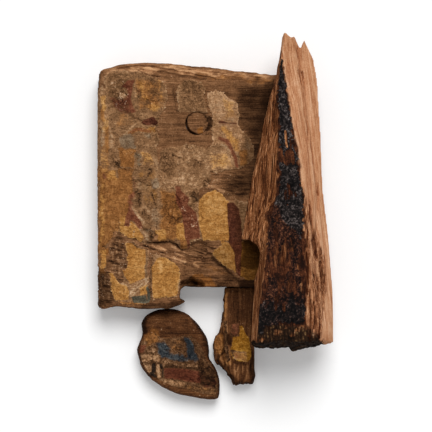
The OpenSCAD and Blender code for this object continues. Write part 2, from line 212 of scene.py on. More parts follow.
# shader maths as expressions
class Shade:
    def __init__(self, finish, socket):
        self.finish = finish
        self.socket = socket

    def maths(self, operation, other, turned=False):
        pair = (other, self) if turned else (self, other)
        return self.finish.node("ShaderNodeMath", {"operation": operation}, {0: pair[0], 1: pair[1]})

    def __add__(self, other):
        return self.maths("ADD", other)

    def __radd__(self, other):
        return self.maths("ADD", other, True)

    def __sub__(self, other):
        return self.maths("SUBTRACT", other)

    def __rsub__(self, other):
        return self.maths("SUBTRACT", other, True)

    def __mul__(self, other):
        return self.maths("MULTIPLY", other)

    def __rmul__(self, other):
        return self.maths("MULTIPLY", other, True)

    def between(self, low, high):
        settings = {"interpolation_type": "SMOOTHSTEP"}
        return self.finish.node("ShaderNodeMapRange", settings, {0: self, 1: low, 2: high, 3: 0.0, 4: 1.0})


class Finish:
    def __init__(self, name, specular):
        self.material = bpy.data.materials.new(name)
        self.material.use_nodes = True
        self.tree = self.material.node_tree
        self.surface = self.tree.nodes["Principled BSDF"]
        self.surface.inputs["Specular IOR Level"].default_value = specular
        self.place = self.node("ShaderNodeTexCoord", out="Object")

    def node(self, kind, settings=None, inputs=None, out=0):
        made = self.tree.nodes.new(kind)
        for key, value in (settings or {}).items():
            if key == "stops":
                ramp = made.color_ramp
                while len(ramp.elements) < len(value):
                    ramp.elements.new(0.5)
                for element, (position, colour) in zip(ramp.elements, value):
                    element.position = position
                    element.color = colour
            else:
                setattr(made, key, value)
        for key, value in (inputs or {}).items():
            self.feed(made.inputs[key], value)
        return Shade(self, made.outputs[out])

    def feed(self, socket, value):
        if isinstance(value, Shade):
            self.tree.links.new(value.socket, socket)
        else:
            socket.default_value = value

    def stretched(self, scale, turn=0.0):
        turned = self.node("ShaderNodeMapping", {}, {"Vector": self.place, "Rotation": (0, 0, turn)})
        return self.node("ShaderNodeMapping", {}, {"Vector": turned, "Scale": scale})

    def noise(self, scale, detail, rough, twist=0.0, place=None):
        inputs = {"Vector": place or self.place, "Scale": scale, "Detail": detail}
        return self.node("ShaderNodeTexNoise", {}, dict(inputs, Roughness=rough, Distortion=twist))

    def cracks(self, scale, place):
        settings = {"feature": "DISTANCE_TO_EDGE"}
        return self.node("ShaderNodeTexVoronoi", settings, {"Vector": place, "Scale": scale})

    def mask(self, name):
        return self.node("ShaderNodeAttribute", {"attribute_name": name}, {}, "Fac")

    def tones(self, factor, stops):
        return self.node("ShaderNodeValToRGB", {"stops": stops}, {"Fac": factor})

    def mixed(self, factor, a, b):
        return self.node("ShaderNodeMix", {"data_type": "RGBA"}, {0: factor, 6: a, 7: b}, 2)

    def done(self, colour, roughness, relief, depth, strength):
        self.feed(self.surface.inputs["Base Color"], colour)
        self.feed(self.surface.inputs["Roughness"], roughness)
        bump = self.node("ShaderNodeBump", {}, {"Strength": strength, "Distance": depth, "Height": relief})
        self.feed(self.surface.inputs["Normal"], bump)


def tone(r, g, b):
    def linear(c):
        c = c / 255
        return c / 12.92 if c <= 0.04045 else ((c + 0.055) / 1.055) ** 2.4
    return linear(r), linear(g), linear(b), 1.0


# stage: pale floor, soft light, camera straight above
stage = {
    "floor": 6.0, "floorTone": (0.88, 0.88, 0.88, 1), "floorGlow": 0.17,
    "sun": 2.35, "sunFrom": (0.14, 0.66, 1.0), "sunWide": 34,
    "sky": 0.38, "sensor": 36,
}


def buildStage():
    pickOnly(next(iter(frame["nodes"].values())))
    bpy.ops.object.select_all(action="DESELECT")
    bpy.ops.mesh.primitive_plane_add(size=stage["floor"])
    floor = bpy.context.object
    floor.name = "floor"
    paper = Finish("palePaper", 0.0)
    paper.surface.inputs["Base Color"].default_value = stage["floorTone"]
    paper.surface.inputs["Roughness"].default_value = 1.0
    paper.surface.inputs["Emission Strength"].default_value = stage["floorGlow"]
    rays = ("Is Camera Ray", "Is Glossy Ray", "Is Transmission Ray")
    seen = [paper.node("ShaderNodeLightPath", out=ray) for ray in rays]
    glow = paper.mixed(seen[0] + seen[1] + seen[2], (0, 0, 0, 1), (1, 1, 1, 1))
    paper.feed(paper.surface.inputs["Emission Color"], glow)
    floor.data.materials.append(paper.material)

    bpy.ops.object.light_add(type="SUN")
    sun = bpy.context.object
    sun.data.energy = stage["sun"]
    sun.data.angle = math.radians(stage["sunWide"])
    x, y, z = stage["sunFrom"]
    sun.rotation_euler = (0, math.atan2(math.hypot(x, y), z), math.atan2(y, x))

    world = bpy.data.worlds.new("studio")
    world.use_nodes = True
    sky = world.node_tree.nodes["Background"]
    path = world.node_tree.nodes.new("ShaderNodeLightPath")
    level = world.node_tree.nodes.new("ShaderNodeMapRange")
    level.inputs["To Min"].default_value = stage["sky"]
    world.node_tree.links.new(path.outputs["Is Camera Ray"], level.inputs["Value"])
    world.node_tree.links.new(level.outputs["Result"], sky.inputs["Strength"])
    sky.inputs["Color"].default_value = (1, 1, 1, 1)
    bpy.context.scene.world = world

    bpy.ops.object.camera_add(location=(picture["x"], picture["y"], picture["height"]))
    camera = bpy.context.object
    camera.data.sensor_width = stage["sensor"]
    camera.data.lens = stage["sensor"] * picture["height"] / (picture["side"] * picture["pixel"])
    bpy.context.scene.camera = camera
    bpy.context.scene.view_settings.view_transform = "Standard"
    print("stage set")


buildStage()


# finishes shared by the pieces
def along(axis, run, cross):
    return tuple(run if k == "xyz".index(axis) else cross for k in range(3))


def stopsOf(*tones):
    return [(place, tone(*colour)) for place, *colour in tones]


# one value from dark to light carries fibres, dust and wear, and a ramp of the wood's tones colours it
def woodFinish(name, axis, stops):
    wood = Finish(name, 0.06)
    fibres = wood.noise(1.0, 5.0, 0.6, 0.0, wood.stretched(along(axis, 16, 620)))
    lines = wood.noise(1.0, 3.0, 0.6, 0.15, wood.stretched(along(axis, 70, 1300)))
    bands = wood.noise(1.0, 3.0, 0.6, 0.4, wood.stretched(along(axis, 7, 150)))
    grime = wood.noise(170.0, 5.0, 0.65)
    dust = wood.noise(1000.0, 3.0, 0.7)
    splinter = wood.noise(1.0, 4.0, 0.6, 0.3, wood.stretched(along(axis, 60, 560), 0.32))
    value = 0.5 * (fibres - 0.5) + 0.6 * (lines - 0.5) + 0.35 * (bands - 0.5)
    value = value + 0.5 * (grime - 0.5) + 0.6 * (dust - 0.5) + 1.6 * wood.mask("torn") * (splinter - 0.5)
    value = 0.5 + value + 0.36 * wood.mask("pale") - 0.2 * wood.mask("dark")
    colour = wood.tones(value, stops)
    rust = wood.tones(value, stopsOf((0.2, 58, 30, 12), (0.5, 132, 82, 38), (0.8, 178, 122, 66)))
    colour = wood.mixed((wood.mask("ochre") + 1.2 * (grime - 0.5)).between(0.2, 0.8), colour, rust)
    # the dark mask carries real stains and also painted shade beside the wedge, along the panel's foot and on
    # the small fragments' edges
    stainAndShade = wood.mask("dark") * (0.85 + 1.4 * wood.mask("torn") * (splinter - 0.5))
    colour = wood.mixed(stainAndShade, colour, tone(28, 13, 4))
    chalk = (dust + 0.35 * grime + 0.13 * wood.mask("chalk") - 0.1 * wood.mask("dark")).between(0.86, 0.92)
    colour = wood.mixed(chalk * 0.75, colour, tone(208, 178, 146))
    relief = 0.5 * fibres + 0.4 * lines + 0.25 * dust + 0.5 * wood.mask("torn") * splinter
    wood.done(colour, 0.9, relief, 0.0012, 0.9)
    return wood


caseTones = stopsOf(
    (0.1, 26, 14, 6), (0.3, 68, 42, 24), (0.5, 118, 80, 51), (0.68, 150, 106, 71), (0.9, 206, 158, 114),
)
darkTones = stopsOf(
    (0.1, 20, 11, 5), (0.3, 49, 27, 14), (0.5, 86, 52, 29), (0.7, 122, 80, 48), (0.9, 174, 125, 84),
)
plasterTones = stopsOf(
    (0.12, 46, 30, 17), (0.32, 98, 67, 42), (0.5, 140, 101, 67), (0.68, 170, 128, 90), (0.88, 212, 178, 140),
)
sootyTones = stopsOf(
    (0.12, 30, 18, 10), (0.32, 62, 39, 22), (0.5, 98, 66, 41), (0.68, 136, 100, 70), (0.88, 190, 158, 122),
)

freshTones = stopsOf((0.2, 138, 74, 42), (0.4, 180, 120, 82), (0.55, 200, 144, 104), (0.8, 230, 184, 148))
agedTones = stopsOf(
    (0.15, 30, 14, 6), (0.35, 84, 43, 20), (0.5, 122, 73, 42), (0.68, 168, 109, 67), (0.88, 210, 154, 110),
)
tornTones = stopsOf((0.25, 54, 22, 8), (0.42, 108, 58, 31), (0.58, 150, 95, 60), (0.8, 214, 160, 117))
tarTones = stopsOf((0.3, 16, 9, 7), (0.5, 44, 23, 15), (0.7, 94, 52, 31), (0.85, 150, 96, 60))
# the palest stop gives the black resin small pale specks: painted glints
crustAndGlintTones = stopsOf((0.3, 7, 6, 6), (0.5, 27, 22, 21), (0.64, 62, 53, 50), (0.8, 118, 108, 104))
filmTones = stopsOf((0.3, 10, 6, 6), (0.5, 36, 20, 15), (0.66, 84, 48, 33), (0.82, 140, 92, 64))
endTones = stopsOf((0.3, 10, 7, 5), (0.5, 29, 18, 11), (0.68, 56, 36, 22), (0.85, 140, 108, 70))

paints = {
    "cream": stopsOf((0.2, 108, 72, 42), (0.5, 164, 120, 82), (0.8, 208, 166, 126)),
    "rust": stopsOf((0.2, 92, 54, 24), (0.5, 146, 94, 48), (0.8, 186, 130, 74)),
    "honey": stopsOf((0.2, 68, 38, 6), (0.5, 124, 79, 27), (0.8, 172, 118, 54)),
    "ochre": stopsOf((0.15, 88, 52, 20), (0.38, 158, 104, 48), (0.55, 188, 132, 68), (0.8, 214, 164, 102)),
    "yellow": stopsOf((0.2, 92, 58, 10), (0.5, 156, 102, 30), (0.8, 204, 152, 66)),
    "blue": stopsOf((0.2, 68, 54, 40), (0.5, 128, 103, 78), (0.8, 170, 144, 114)),
    "teal": stopsOf((0.2, 32, 33, 30), (0.5, 82, 78, 64), (0.8, 126, 120, 100)),
    "slate": stopsOf((0.2, 14, 20, 25), (0.5, 44, 52, 57), (0.8, 92, 99, 100)),
    "red": stopsOf((0.2, 60, 24, 14), (0.5, 112, 60, 40), (0.8, 152, 98, 68)),
    "maroon": stopsOf((0.2, 34, 13, 8), (0.5, 76, 36, 24), (0.8, 120, 68, 48)),
    "black": stopsOf((0.2, 10, 8, 7), (0.5, 24, 18, 14), (0.8, 58, 46, 36)),
}


def plasterFinish(name, stops):
    coat = Finish(name, 0.06)
    patchy = coat.noise(120.0, 5.0, 0.62, 0.4)
    medium = coat.noise(360.0, 4.0, 0.65, 0.2)
    specks = coat.noise(1000.0, 3.0, 0.7)
    streak = coat.noise(1.0, 4.0, 0.65, 1.0, coat.stretched((90, 520, 520)))
    inputs = {"Vector": coat.place, "Scale": 240.0, "Detail": 3.0}
    wander = coat.node("ShaderNodeTexNoise", {}, inputs, "Color")
    inputs = {0: wander, 1: (0.007, 0.007, 0.007), 2: coat.place}
    bent = coat.node("ShaderNodeVectorMath", {"operation": "MULTIPLY_ADD"}, inputs)
    dirty = (patchy + 0.25 * coat.mask("dirt")).between(0.48, 0.7)
    crazed = (1 - coat.cracks(150.0, bent).between(0.0, 0.1)) * dirty
    value = 0.5 * (patchy - 0.5) + 0.55 * (medium - 0.5) + 0.85 * (specks - 0.5) + 0.5 * (streak - 0.5)
    worn = coat.mask("dirt") * (0.3 + 1.6 * (streak - 0.35))
    value = 0.52 + value + 0.32 * coat.mask("pale") - 0.45 * worn - 0.22 * crazed
    ragged = 0.9 * (patchy - 0.5) + 0.9 * (medium - 0.5) + 0.6 * (specks - 0.5)
    colour = coat.tones(value, stops)
    for paint, tones in paints.items():
        cover = (coat.mask(paint) - 0.5 * worn + ragged).between(0.2, 0.7)
        colour = coat.mixed(cover * 0.94, colour, coat.tones(value, tones))
    chalk = (0.5 * specks + 0.5 * medium + 0.3 * patchy + 0.09 * coat.mask("chalk")).between(0.79, 0.86)
    colour = coat.mixed(chalk * 0.7, colour, tone(214, 180, 146))
    # this mask darkens the plaster to deep brown: painted shade in the wedge's notch, beside the wedge and
    # along the panel's foot
    colour = coat.mixed(coat.mask("grime") * 0.8, colour, tone(38, 18, 1))
    flakes = patchy.between(0.47, 0.5) + medium.between(0.44, 0.5)
    relief = 0.3 * flakes + 0.25 * medium + 0.4 * specks + 0.3 * streak - 0.5 * crazed
    coat.done(colour, 0.92, relief, 0.0012, 0.85)
    return coat


# a blot fills an outline, a stroke or a crack follows a line; its picture places come last, x and y in turn
def pairs(numbers):
    return list(zip(numbers[::2], numbers[1::2]))


def blot(much, soft, *numbers):
    return {"patch": pairs(numbers), "much": much, "soft": soft}


def stroke(wide, much, soft, *numbers):
    return {"line": pairs(numbers), "wide": wide, "much": much, "soft": soft}


def crack(wide, deep, dark, *numbers):
    return {"line": pairs(numbers), "wide": wide, "deep": deep, "dark": dark}


# where the plaster has come off above the foot, without and with the notch in its right side
lostPatch = (109, 250, 114, 240, 119, 230, 124, 240, 128, 268, 121, 283, 114, 276)
notchedPatch = (109, 250, 114, 240, 119, 230, 124, 240, 128, 268, 121, 270, 121, 283, 114, 276)

# paint and wear on the panel's face, with painted shade where the wedge and the panel's foot shade the
# plaster
panelMarks = {
    "pale": [
        stroke(2.5, 0.5, 1.2, 177, 89, 178, 98, 178, 104, 180, 110),
        blot(0.3, 2.5, 208, 92, 214, 89, 222, 91, 234, 99, 233, 112, 215, 119, 210, 110),
        stroke(3, 0.4, 1.5, 211, 113, 213, 124, 212, 140, 208, 148),
        stroke(2.5, 0.8, 1, 222, 145, 231, 151),
        blot(0.25, 4, 208, 148, 232, 150, 236, 168, 212, 172),
        blot(0.25, 6, 164, 148, 206, 148, 212, 172, 206, 187, 162, 196),
        blot(0.35, 3, 182, 148, 192, 149, 190, 160, 184, 160),
        stroke(7, 0.4, 3, 156, 160, 157, 178),
        stroke(4, 0.6, 1.5, 208, 184, 216, 183, 224, 189),
        blot(0.3, 4, 200, 193, 226, 198, 226, 216, 200, 214),
        stroke(1.5, 0.6, 1.2, 126, 134, 130, 128, 136, 124, 143, 122, 150, 124, 157, 128),
        stroke(2.5, 0.5, 1.5, 110, 128, 112, 148),
        stroke(3, 0.9, 1.5, 131, 209, 138, 216, 146, 226),
        stroke(3, 0.7, 1.5, 142, 204, 149, 213),
        stroke(3, 0.6, 1.5, 140, 229, 147, 238),
        stroke(3, 0.8, 1, 132, 239, 140, 244, 147, 246),
        stroke(7, 0.35, 3, 104, 78, 104, 165),
        stroke(1.2, 0.4, 0.8, 110, 84, 117, 88, 121, 93),
        stroke(1.4, 0.9, 0.8, 129, 295, 134, 289, 142, 283),
        stroke(1.4, 0.8, 0.8, 131, 297, 139, 290, 149, 281),
        stroke(1.4, 0.7, 0.8, 133, 287, 140, 281, 149, 278),
        blot(0.25, 2, 129, 295, 131, 284, 149, 277, 148, 284, 134, 297),
        stroke(3, 0.8, 1.2, 154, 258, 160, 262, 161, 271),
        stroke(2.5, 0.8, 1, 181, 266, 180, 278, 177, 290),
        stroke(2, 0.7, 1, 119, 282, 128, 286),
    ],
    "dirt": [
        blot(0.35, 4, 107, 79, 129, 79, 129, 110, 110, 110),
        blot(0.15, 3, 104, 72, 168, 74, 166, 80, 108, 80),
        stroke(5, 0.4, 2, 152, 79, 153, 100),
        blot(0.6, 2, 143, 99, 151, 99, 151, 106, 144, 106),
        blot(0.4, 1.5, 137, 89, 142, 89, 141, 98, 137, 98),
        stroke(3, 0.6, 1.5, 122, 108, 126, 112, 130, 113, 133, 117, 140, 120),
        stroke(4, 0.6, 2, 158, 118, 157, 140),
        blot(0.7, 2.5, 111, 157, 120, 160, 120, 170, 112, 168),
        stroke(2.5, 0.5, 1.5, 120, 169, 136, 170),
        stroke(2, 0.55, 1.5, 139, 167, 148, 167, 152, 172, 146, 177),
        stroke(2, 0.5, 1.5, 132, 180, 144, 183),
        blot(0.65, 2.5, 134, 191, 142, 193, 142, 206, 135, 209),
        blot(0.65, 2, 141, 208, 148, 212, 149, 221, 144, 219),
        stroke(1.6, 0.9, 0.8, 150, 192, 154, 200, 156, 209),
        stroke(5, 0.7, 2, 147, 226, 155, 240),
        blot(0.55, 4, 160, 151, 174, 153, 176, 176, 161, 176),
        stroke(1.6, 0.9, 0.8, 170, 154, 184, 160),
        blot(0.6, 2.5, 190, 160, 204, 161, 203, 170, 191, 170),
        blot(0.8, 2, 190, 193, 201, 193, 200, 200, 192, 206),
        blot(0.6, 3, 163, 212, 180, 214, 179, 225, 165, 224),
        blot(0.4, 3, 161, 192, 180, 192, 180, 212, 161, 212),
        blot(0.8, 2, 204, 178, 214, 176, 212, 186, 203, 190),
        stroke(2, 0.7, 1, 205, 96, 208, 104, 210, 113),
        blot(0.2, 4, 181, 84, 206, 84, 206, 112, 181, 112),
        blot(0.6, 1.5, *lostPatch),
        stroke(2.5, 0.9, 1, 103.5, 246, 106, 247),
        stroke(2, 0.8, 1, 151, 254, 151, 300),
        stroke(2, 0.6, 1, 130, 240, 137, 247),
        blot(0.3, 4, 199, 200, 210, 192, 206, 220, 199, 225),
        stroke(3, 0.3, 2, 202, 222, 226, 214),
        blot(0.35, 3, 180, 80, 206, 84, 204, 92, 180, 90),
    ],
    "chalk": [
        blot(0.9, 3, 107, 79, 129, 79, 129, 112, 110, 110),
        blot(1.0, 2, 181, 207, 192, 208, 197, 226, 188, 230),
        blot(1.0, 1.5, *lostPatch),
        blot(0.6, 1.5, 128, 296, 131, 286, 150, 277, 149, 284, 132, 298),
        blot(0.6, 2.0, 207, 180, 226, 182, 224, 192, 206, 190),
        blot(0.5, 2.0, 126, 124, 156, 124, 156, 136, 126, 138),
        blot(0.5, 2.0, 99, 74, 109, 74, 109, 160, 99, 160),
        blot(0.6, 3, 130, 200, 150, 204, 156, 240, 140, 226),
        blot(0.3, 6, 160, 146, 206, 146, 206, 190, 160, 200),
    ],
    # painted shade: the plaster darkened in the notch under the wedge, beside the wedge and along the panel's
    # foot
    "grime": [
        blot(1.0, 3, 240, 240, 266, 240, 266, 270, 240, 268),
        blot(0.6, 4, 241, 262, 266, 264, 266, 290, 241, 290),
        stroke(4, 1.0, 1.5, 238, 279, 250, 281, 266, 280),
        blot(0.7, 5, 244, 134, 262, 134, 256, 166, 238, 174, 244, 160),
        blot(0.5, 3, 236, 200, 262, 204, 262, 244, 236, 244),
        blot(0.42, 3, 212, 252, 224, 243, 236, 250, 239, 279, 226, 270),
    ],
    "cream": [
        blot(
            0.95, 4, 207, 92, 214, 89, 222, 91, 231, 97, 238, 103, 239, 124, 245, 134, 240, 148, 228, 147,
            211, 143, 213, 122, 209, 110,
        ),
        blot(0.55, 5, 208, 150, 230, 152, 236, 168, 212, 172),
        blot(0.3, 8, 164, 150, 206, 148, 206, 187, 162, 196),
        stroke(6, 0.5, 3, 104, 78, 104, 100),
    ],
    "rust": [
        blot(1.0, 4, 99, 166, 117, 178, 131, 180, 131, 205, 126, 217, 119, 229, 108, 246, 99, 262),
        blot(0.9, 1.5, 119, 150, 134, 150, 134, 168, 120, 167),
        blot(0.7, 2, 117, 168, 135, 168, 133, 184, 118, 182),
        blot(0.55, 5, 134, 80, 160, 79, 163, 102, 152, 111, 137, 109),
        blot(0.4, 3, 116, 111, 123, 111, 136, 121, 133, 125, 118, 127),
        stroke(5, 0.8, 1.5, 103, 110, 103, 119),
        stroke(4, 0.7, 1.5, 107, 128, 107, 152),
        stroke(9, 0.5, 2, 105, 150, 105, 170),
        blot(0.75, 4, 161, 190, 175, 190, 182, 212, 184, 240, 160, 240),
        blot(0.8, 2, 239, 150, 248, 149, 248, 163, 240, 167),
        stroke(3.5, 0.8, 1.2, 129, 133, 137, 130, 150, 131),
        stroke(3, 0.8, 1, 119, 149, 135, 151),
        blot(0.7, 1.5, 180, 238, 188, 239, 187, 249, 181, 249),
        stroke(5, 0.7, 1.5, 114, 304, 150, 305),
    ],
    "ochre": [
        stroke(6, 0.7, 2.5, 104, 99, 104, 108),
        stroke(7, 0.45, 3, 105, 119, 104, 130),
        stroke(8, 0.35, 3, 104, 152, 104, 168),
        stroke(5, 0.5, 2, 102, 184, 102, 245),
        blot(0.6, 1.5, 107, 171, 116, 170, 117, 180, 108, 181),
        stroke(5, 0.42, 2.5, 140, 82, 142, 94, 150, 108),
        stroke(4, 0.3, 2.5, 147, 80, 149, 92),
        stroke(5, 0.4, 3, 158, 79, 159, 97),
        blot(0.5, 3, 150, 104, 158, 104, 158, 112, 151, 112),
        blot(0.7, 2, 149, 125, 157, 127, 158, 132, 150, 131),
        blot(
            1.1, 1.2, 120, 218, 125, 216, 125, 226, 129, 227, 131, 221, 138, 229, 143, 238, 140, 242,
            133, 238, 125, 238, 120, 232,
        ),
        blot(0.9, 1.5, 155, 230, 165, 230, 166, 240, 156, 242),
        blot(0.9, 1.2, 176, 223, 183, 222, 186, 240, 177, 240),
        blot(0.45, 2, 141, 151, 153, 151, 153, 164, 142, 165),
        blot(
            1.1, 1.2, 199, 200, 205, 193, 215, 190, 224, 194, 228, 201, 228, 215, 229, 241, 204, 242,
            199, 225,
        ),
        blot(1.1, 1, 210, 252, 222, 241, 233, 245, 236, 262, 238, 279, 226, 270),
        blot(
            1.2, 1, 125, 243, 131, 243, 137, 247, 145, 250, 145, 278, 138, 280, 131, 284, 125, 276,
            122, 270, 128, 268, 127, 255,
        ),
        blot(1.1, 1.2, 108, 271, 113, 274, 118, 282, 127, 286, 129, 291, 129, 300, 115, 300, 111, 288),
        blot(0.8, 1.5, 101, 250, 108, 250, 108, 262, 105, 270, 101, 268),
        blot(0.8, 1.2, 139, 287, 148, 284, 149, 294, 140, 296),
        blot(
            1.3, 1, 152, 268, 156, 258, 165, 258, 172, 261, 181, 266, 181, 276, 178, 286, 177, 295,
            160, 298, 153, 298,
        ),
        blot(0.5, 3, 222, 99, 234, 101, 234, 117, 224, 118),
        stroke(9, 0.55, 3, 224, 129, 230, 137, 236, 147),
        blot(0.45, 5, 209, 152, 226, 153, 234, 167, 212, 171),
    ],
    "honey": [
        # the first blot is a darker ochre where the wedge shades the notch: painted shade
        blot(0.9, 3, 228, 246, 240, 240, 266, 240, 266, 290, 240, 286, 232, 272),
        blot(0.35, 4, 138, 168, 158, 168, 158, 206, 144, 206),
    ],
    "blue": [
        blot(0.65, 2.5, 120, 136, 130, 134, 136, 140, 135, 148, 121, 148),
        stroke(3, 0.9, 1, 129, 142, 135, 147),
        blot(0.5, 2.5, 145, 133, 152, 132, 152, 141, 146, 142),
        stroke(4, 0.5, 2.5, 102, 131, 102, 145),
        blot(0.3, 3, 139, 178, 151, 178, 150, 192, 140, 192),
        blot(0.55, 2.5, 150, 178, 160, 178, 159, 188, 151, 188),
        blot(0.4, 3, 148, 208, 158, 209, 158, 228, 150, 228),
        blot(0.45, 2.5, 145, 226, 154, 230, 153, 241, 147, 240),
        blot(0.35, 3, 243, 134, 250, 138, 252, 150, 245, 152),
        stroke(3.5, 0.4, 1.5, 146, 254, 147, 280),
        blot(0.35, 2.5, 220, 119, 228, 117, 237, 119, 236, 125, 226, 126),
    ],
    "teal": [
        blot(1.2, 0.8, 132, 297, 146, 296, 147, 303, 134, 303),
        stroke(4, 0.9, 1, 149, 288, 149, 302),
        blot(0.4, 2.5, 134, 151, 141, 151, 140, 170, 135, 170),
        blot(0.45, 2, 190, 193, 201, 193, 200, 200, 192, 206),
    ],
    "red": [
        blot(
            1.0, 1.2, 121, 87, 128, 80, 135, 80, 132, 86, 131, 93, 132, 103, 135, 112, 131, 113, 128, 102,
            127, 91, 125, 88,
        ),
        blot(0.65, 3, 108, 98, 128, 96, 135, 112, 128, 116, 112, 109),
        stroke(3, 0.5, 1, 130, 132, 137, 130, 150, 131),
        stroke(5, 0.5, 2, 134, 181, 134, 195),
        stroke(5, 0.6, 2, 131, 195, 130, 210),
        blot(
            1.3, 0.8, 124, 226, 126, 217, 129, 207, 133, 211, 141, 223, 143, 228, 139, 229, 134, 221,
            130, 220, 128, 227,
        ),
        blot(
            1.1, 1, 175, 186, 180, 186, 182, 192, 189, 198, 187, 204, 192, 209, 196, 212, 198, 225,
            200, 238, 186, 240, 184, 226, 181, 212, 176, 203,
        ),
        stroke(3.8, 0.8, 1.6, 219, 138, 227, 141, 232, 150, 235, 158, 237, 166),
        stroke(4, 0.45, 2, 219, 122, 228, 123, 236, 124),
        stroke(3, 0.6, 1.5, 149.5, 253, 149.5, 275),
        stroke(3, 0.8, 1, 188, 240, 189, 248),
        blot(0.45, 1.5, 137, 90, 141, 90, 141, 97, 138, 97),
        stroke(3, 0.6, 1, 103.5, 174, 105, 178),
    ],
    "maroon": [
        blot(1.1, 1, 140, 123, 143, 120, 151, 117, 154, 117.5, 158, 123, 155, 125, 145, 124.5),
        stroke(3, 0.6, 1.5, 122, 108, 126, 112, 130, 113, 133, 117, 140, 120),
        blot(0.45, 3, 110, 100, 128, 99, 135, 113, 128, 116, 114, 110),
        stroke(2, 0.7, 1, 219, 122, 227, 123, 236, 124),
        blot(
            1.1, 1.2, 227, 203, 233, 202, 239, 210, 241, 224, 242, 240, 240, 279, 236, 277, 235, 252,
            229, 243,
        ),
    ],
}

# pale flecks of fibre where plaster is lost: strength and line
fibreFlecks = [
    (0.9, 112, 252, 113, 258), (0.9, 116, 246, 117, 253), (0.8, 120, 241, 120, 248),
    (0.9, 118, 257, 119, 262), (0.9, 123, 250, 124, 257), (0.8, 114, 263, 116, 269),
    (0.9, 119, 268, 120, 276), (0.8, 101, 280, 102, 287), (0.8, 105, 276, 106, 284),
    (0.8, 108, 292, 109, 300),
]

# bare wood: the worn rim, what is dark with resin and dirt, painted shade beside the wedge and along the
# foot, chalky remains of plaster and torn fibres
panelWoodMarks = {
    "pale": [
        blot(
            0.8, 2.0, 100, 80, 106, 71, 140, 65, 180, 67, 230, 73, 278, 77, 278, 80, 230, 77, 180, 73,
            140, 71, 108, 78,
        ),
        blot(0.75, 1, 151, 244, 160, 246, 168, 250, 163, 250, 155, 247),
        stroke(1.6, 0.7, 0.8, 170, 244, 176, 249),
        blot(0.55, 1.2, 173, 256, 181, 258, 182, 263, 176, 261),
        stroke(2, 1.2, 0.8, 181, 259, 185, 262),
        stroke(2, 1.2, 0.8, 195, 264, 199, 266),
        stroke(3, 0.6, 2, 208, 184, 222, 189),
        *[stroke(1.6, much, 0.8, *line) for much, *line in fibreFlecks],
        blot(0.12, 9, 104, 75, 172, 76, 166, 112, 206, 146, 200, 245, 105, 240),
    ],
    "ochre": [
        stroke(10, 0.6, 4, 102, 92, 102, 270),
        blot(0.3, 8, 106, 76, 160, 78, 160, 240, 106, 240),
        blot(0.75, 3, 192, 274, 212, 274, 216, 288, 184, 288),
        stroke(5, 0.4, 3, 196, 264, 230, 274),
        blot(0.4, 2.0, 200, 74, 278, 78, 278, 84, 200, 80),
    ],
    "dark": [
        # the first two blots are painted shadow cast by the wedge onto the bare wood beside it
        blot(
            0.85, 9, 260, 86, 280, 78, 278, 110, 258, 168, 248, 196, 240, 196, 250, 160, 250, 132, 254, 104,
        ),
        blot(
            0.68, 9, 236, 88, 275, 82, 272, 120, 254, 168, 246, 196, 228, 194, 226, 178, 250, 166, 252, 148,
            240, 120,
        ),
        blot(0.65, 3, 97, 266, 103, 270, 108, 280, 112, 292, 113, 306, 97, 308),
        blot(1.0, 2.0, 183, 283, 190, 281, 199, 284, 200, 289, 184, 289),
        blot(0.6, 2.0, 140, 304, 184, 302, 184, 309, 140, 309),
        blot(0.22, 3, 184, 241, 214, 241, 212, 256, 186, 256),
        stroke(2, 0.7, 1.5, 98, 75, 98, 308),
        stroke(2, 0.8, 1, 146, 242, 158, 243, 170, 241, 176, 244, 183, 250),
        blot(0.36, 1.5, *notchedPatch),
        # painted shadow below the lower right plaster's edge and along the panel's foot next to the narrow
        # fragment
        stroke(3, 0.9, 1.5, 212, 258, 226, 270, 238, 281, 248, 285),
        blot(0.5, 4, 222, 270, 246, 280, 246, 288, 214, 288),
        blot(1.1, 1.9, 236, 281, 246, 279, 266, 280, 266, 294, 242, 294),
        stroke(1.5, 0.45, 1, 174, 88, 174, 100, 178, 112),
        blot(0.1, 6, 158, 112, 206, 112, 206, 146, 160, 146),
        blot(0.12, 4, 182, 258, 240, 262, 244, 288, 182, 288),
        blot(0.75, 1.5, 206, 117, 210, 115, 213, 119, 212, 127, 207, 132, 205, 130, 208, 124),
    ],
    "chalk": [
        blot(0.8, 1.5, *notchedPatch),
        blot(0.9, 2.0, 99, 268, 108, 270, 112, 302, 99, 306),
        blot(0.4, 3, 204, 174, 240, 174, 238, 196, 206, 194),
        blot(0.4, 2.0, 146, 242, 186, 246, 190, 264, 150, 256),
        blot(0.2, 6, 104, 75, 172, 76, 166, 112, 206, 146, 206, 194, 105, 240),
    ],
    "torn": [
        blot(0.9, 2.0, 128, 236, 147, 242, 184, 248, 220, 244, 213, 256, 200, 262, 184, 266, 147, 250),
        blot(0.4, 4, 186, 256, 214, 258, 240, 284, 186, 288),
        blot(0.7, 2.0, 97, 268, 112, 270, 114, 308, 97, 309),
        blot(0.9, 2.0, *lostPatch),
        blot(0.5, 4, 206, 172, 246, 170, 240, 196, 206, 194),
        blot(0.6, 1.5, 206, 114, 213, 116, 214, 128, 208, 132),
    ],
}

surfaceTrees = {}


def treeOf(obj):
    if obj.name not in surfaceTrees:
        points = [q.co for q in obj.data.vertices]
        surfaceTrees[obj.name] = BVHTree.FromPolygons(points, [f.vertices for f in obj.data.polygons])
    return surfaceTrees[obj.name]


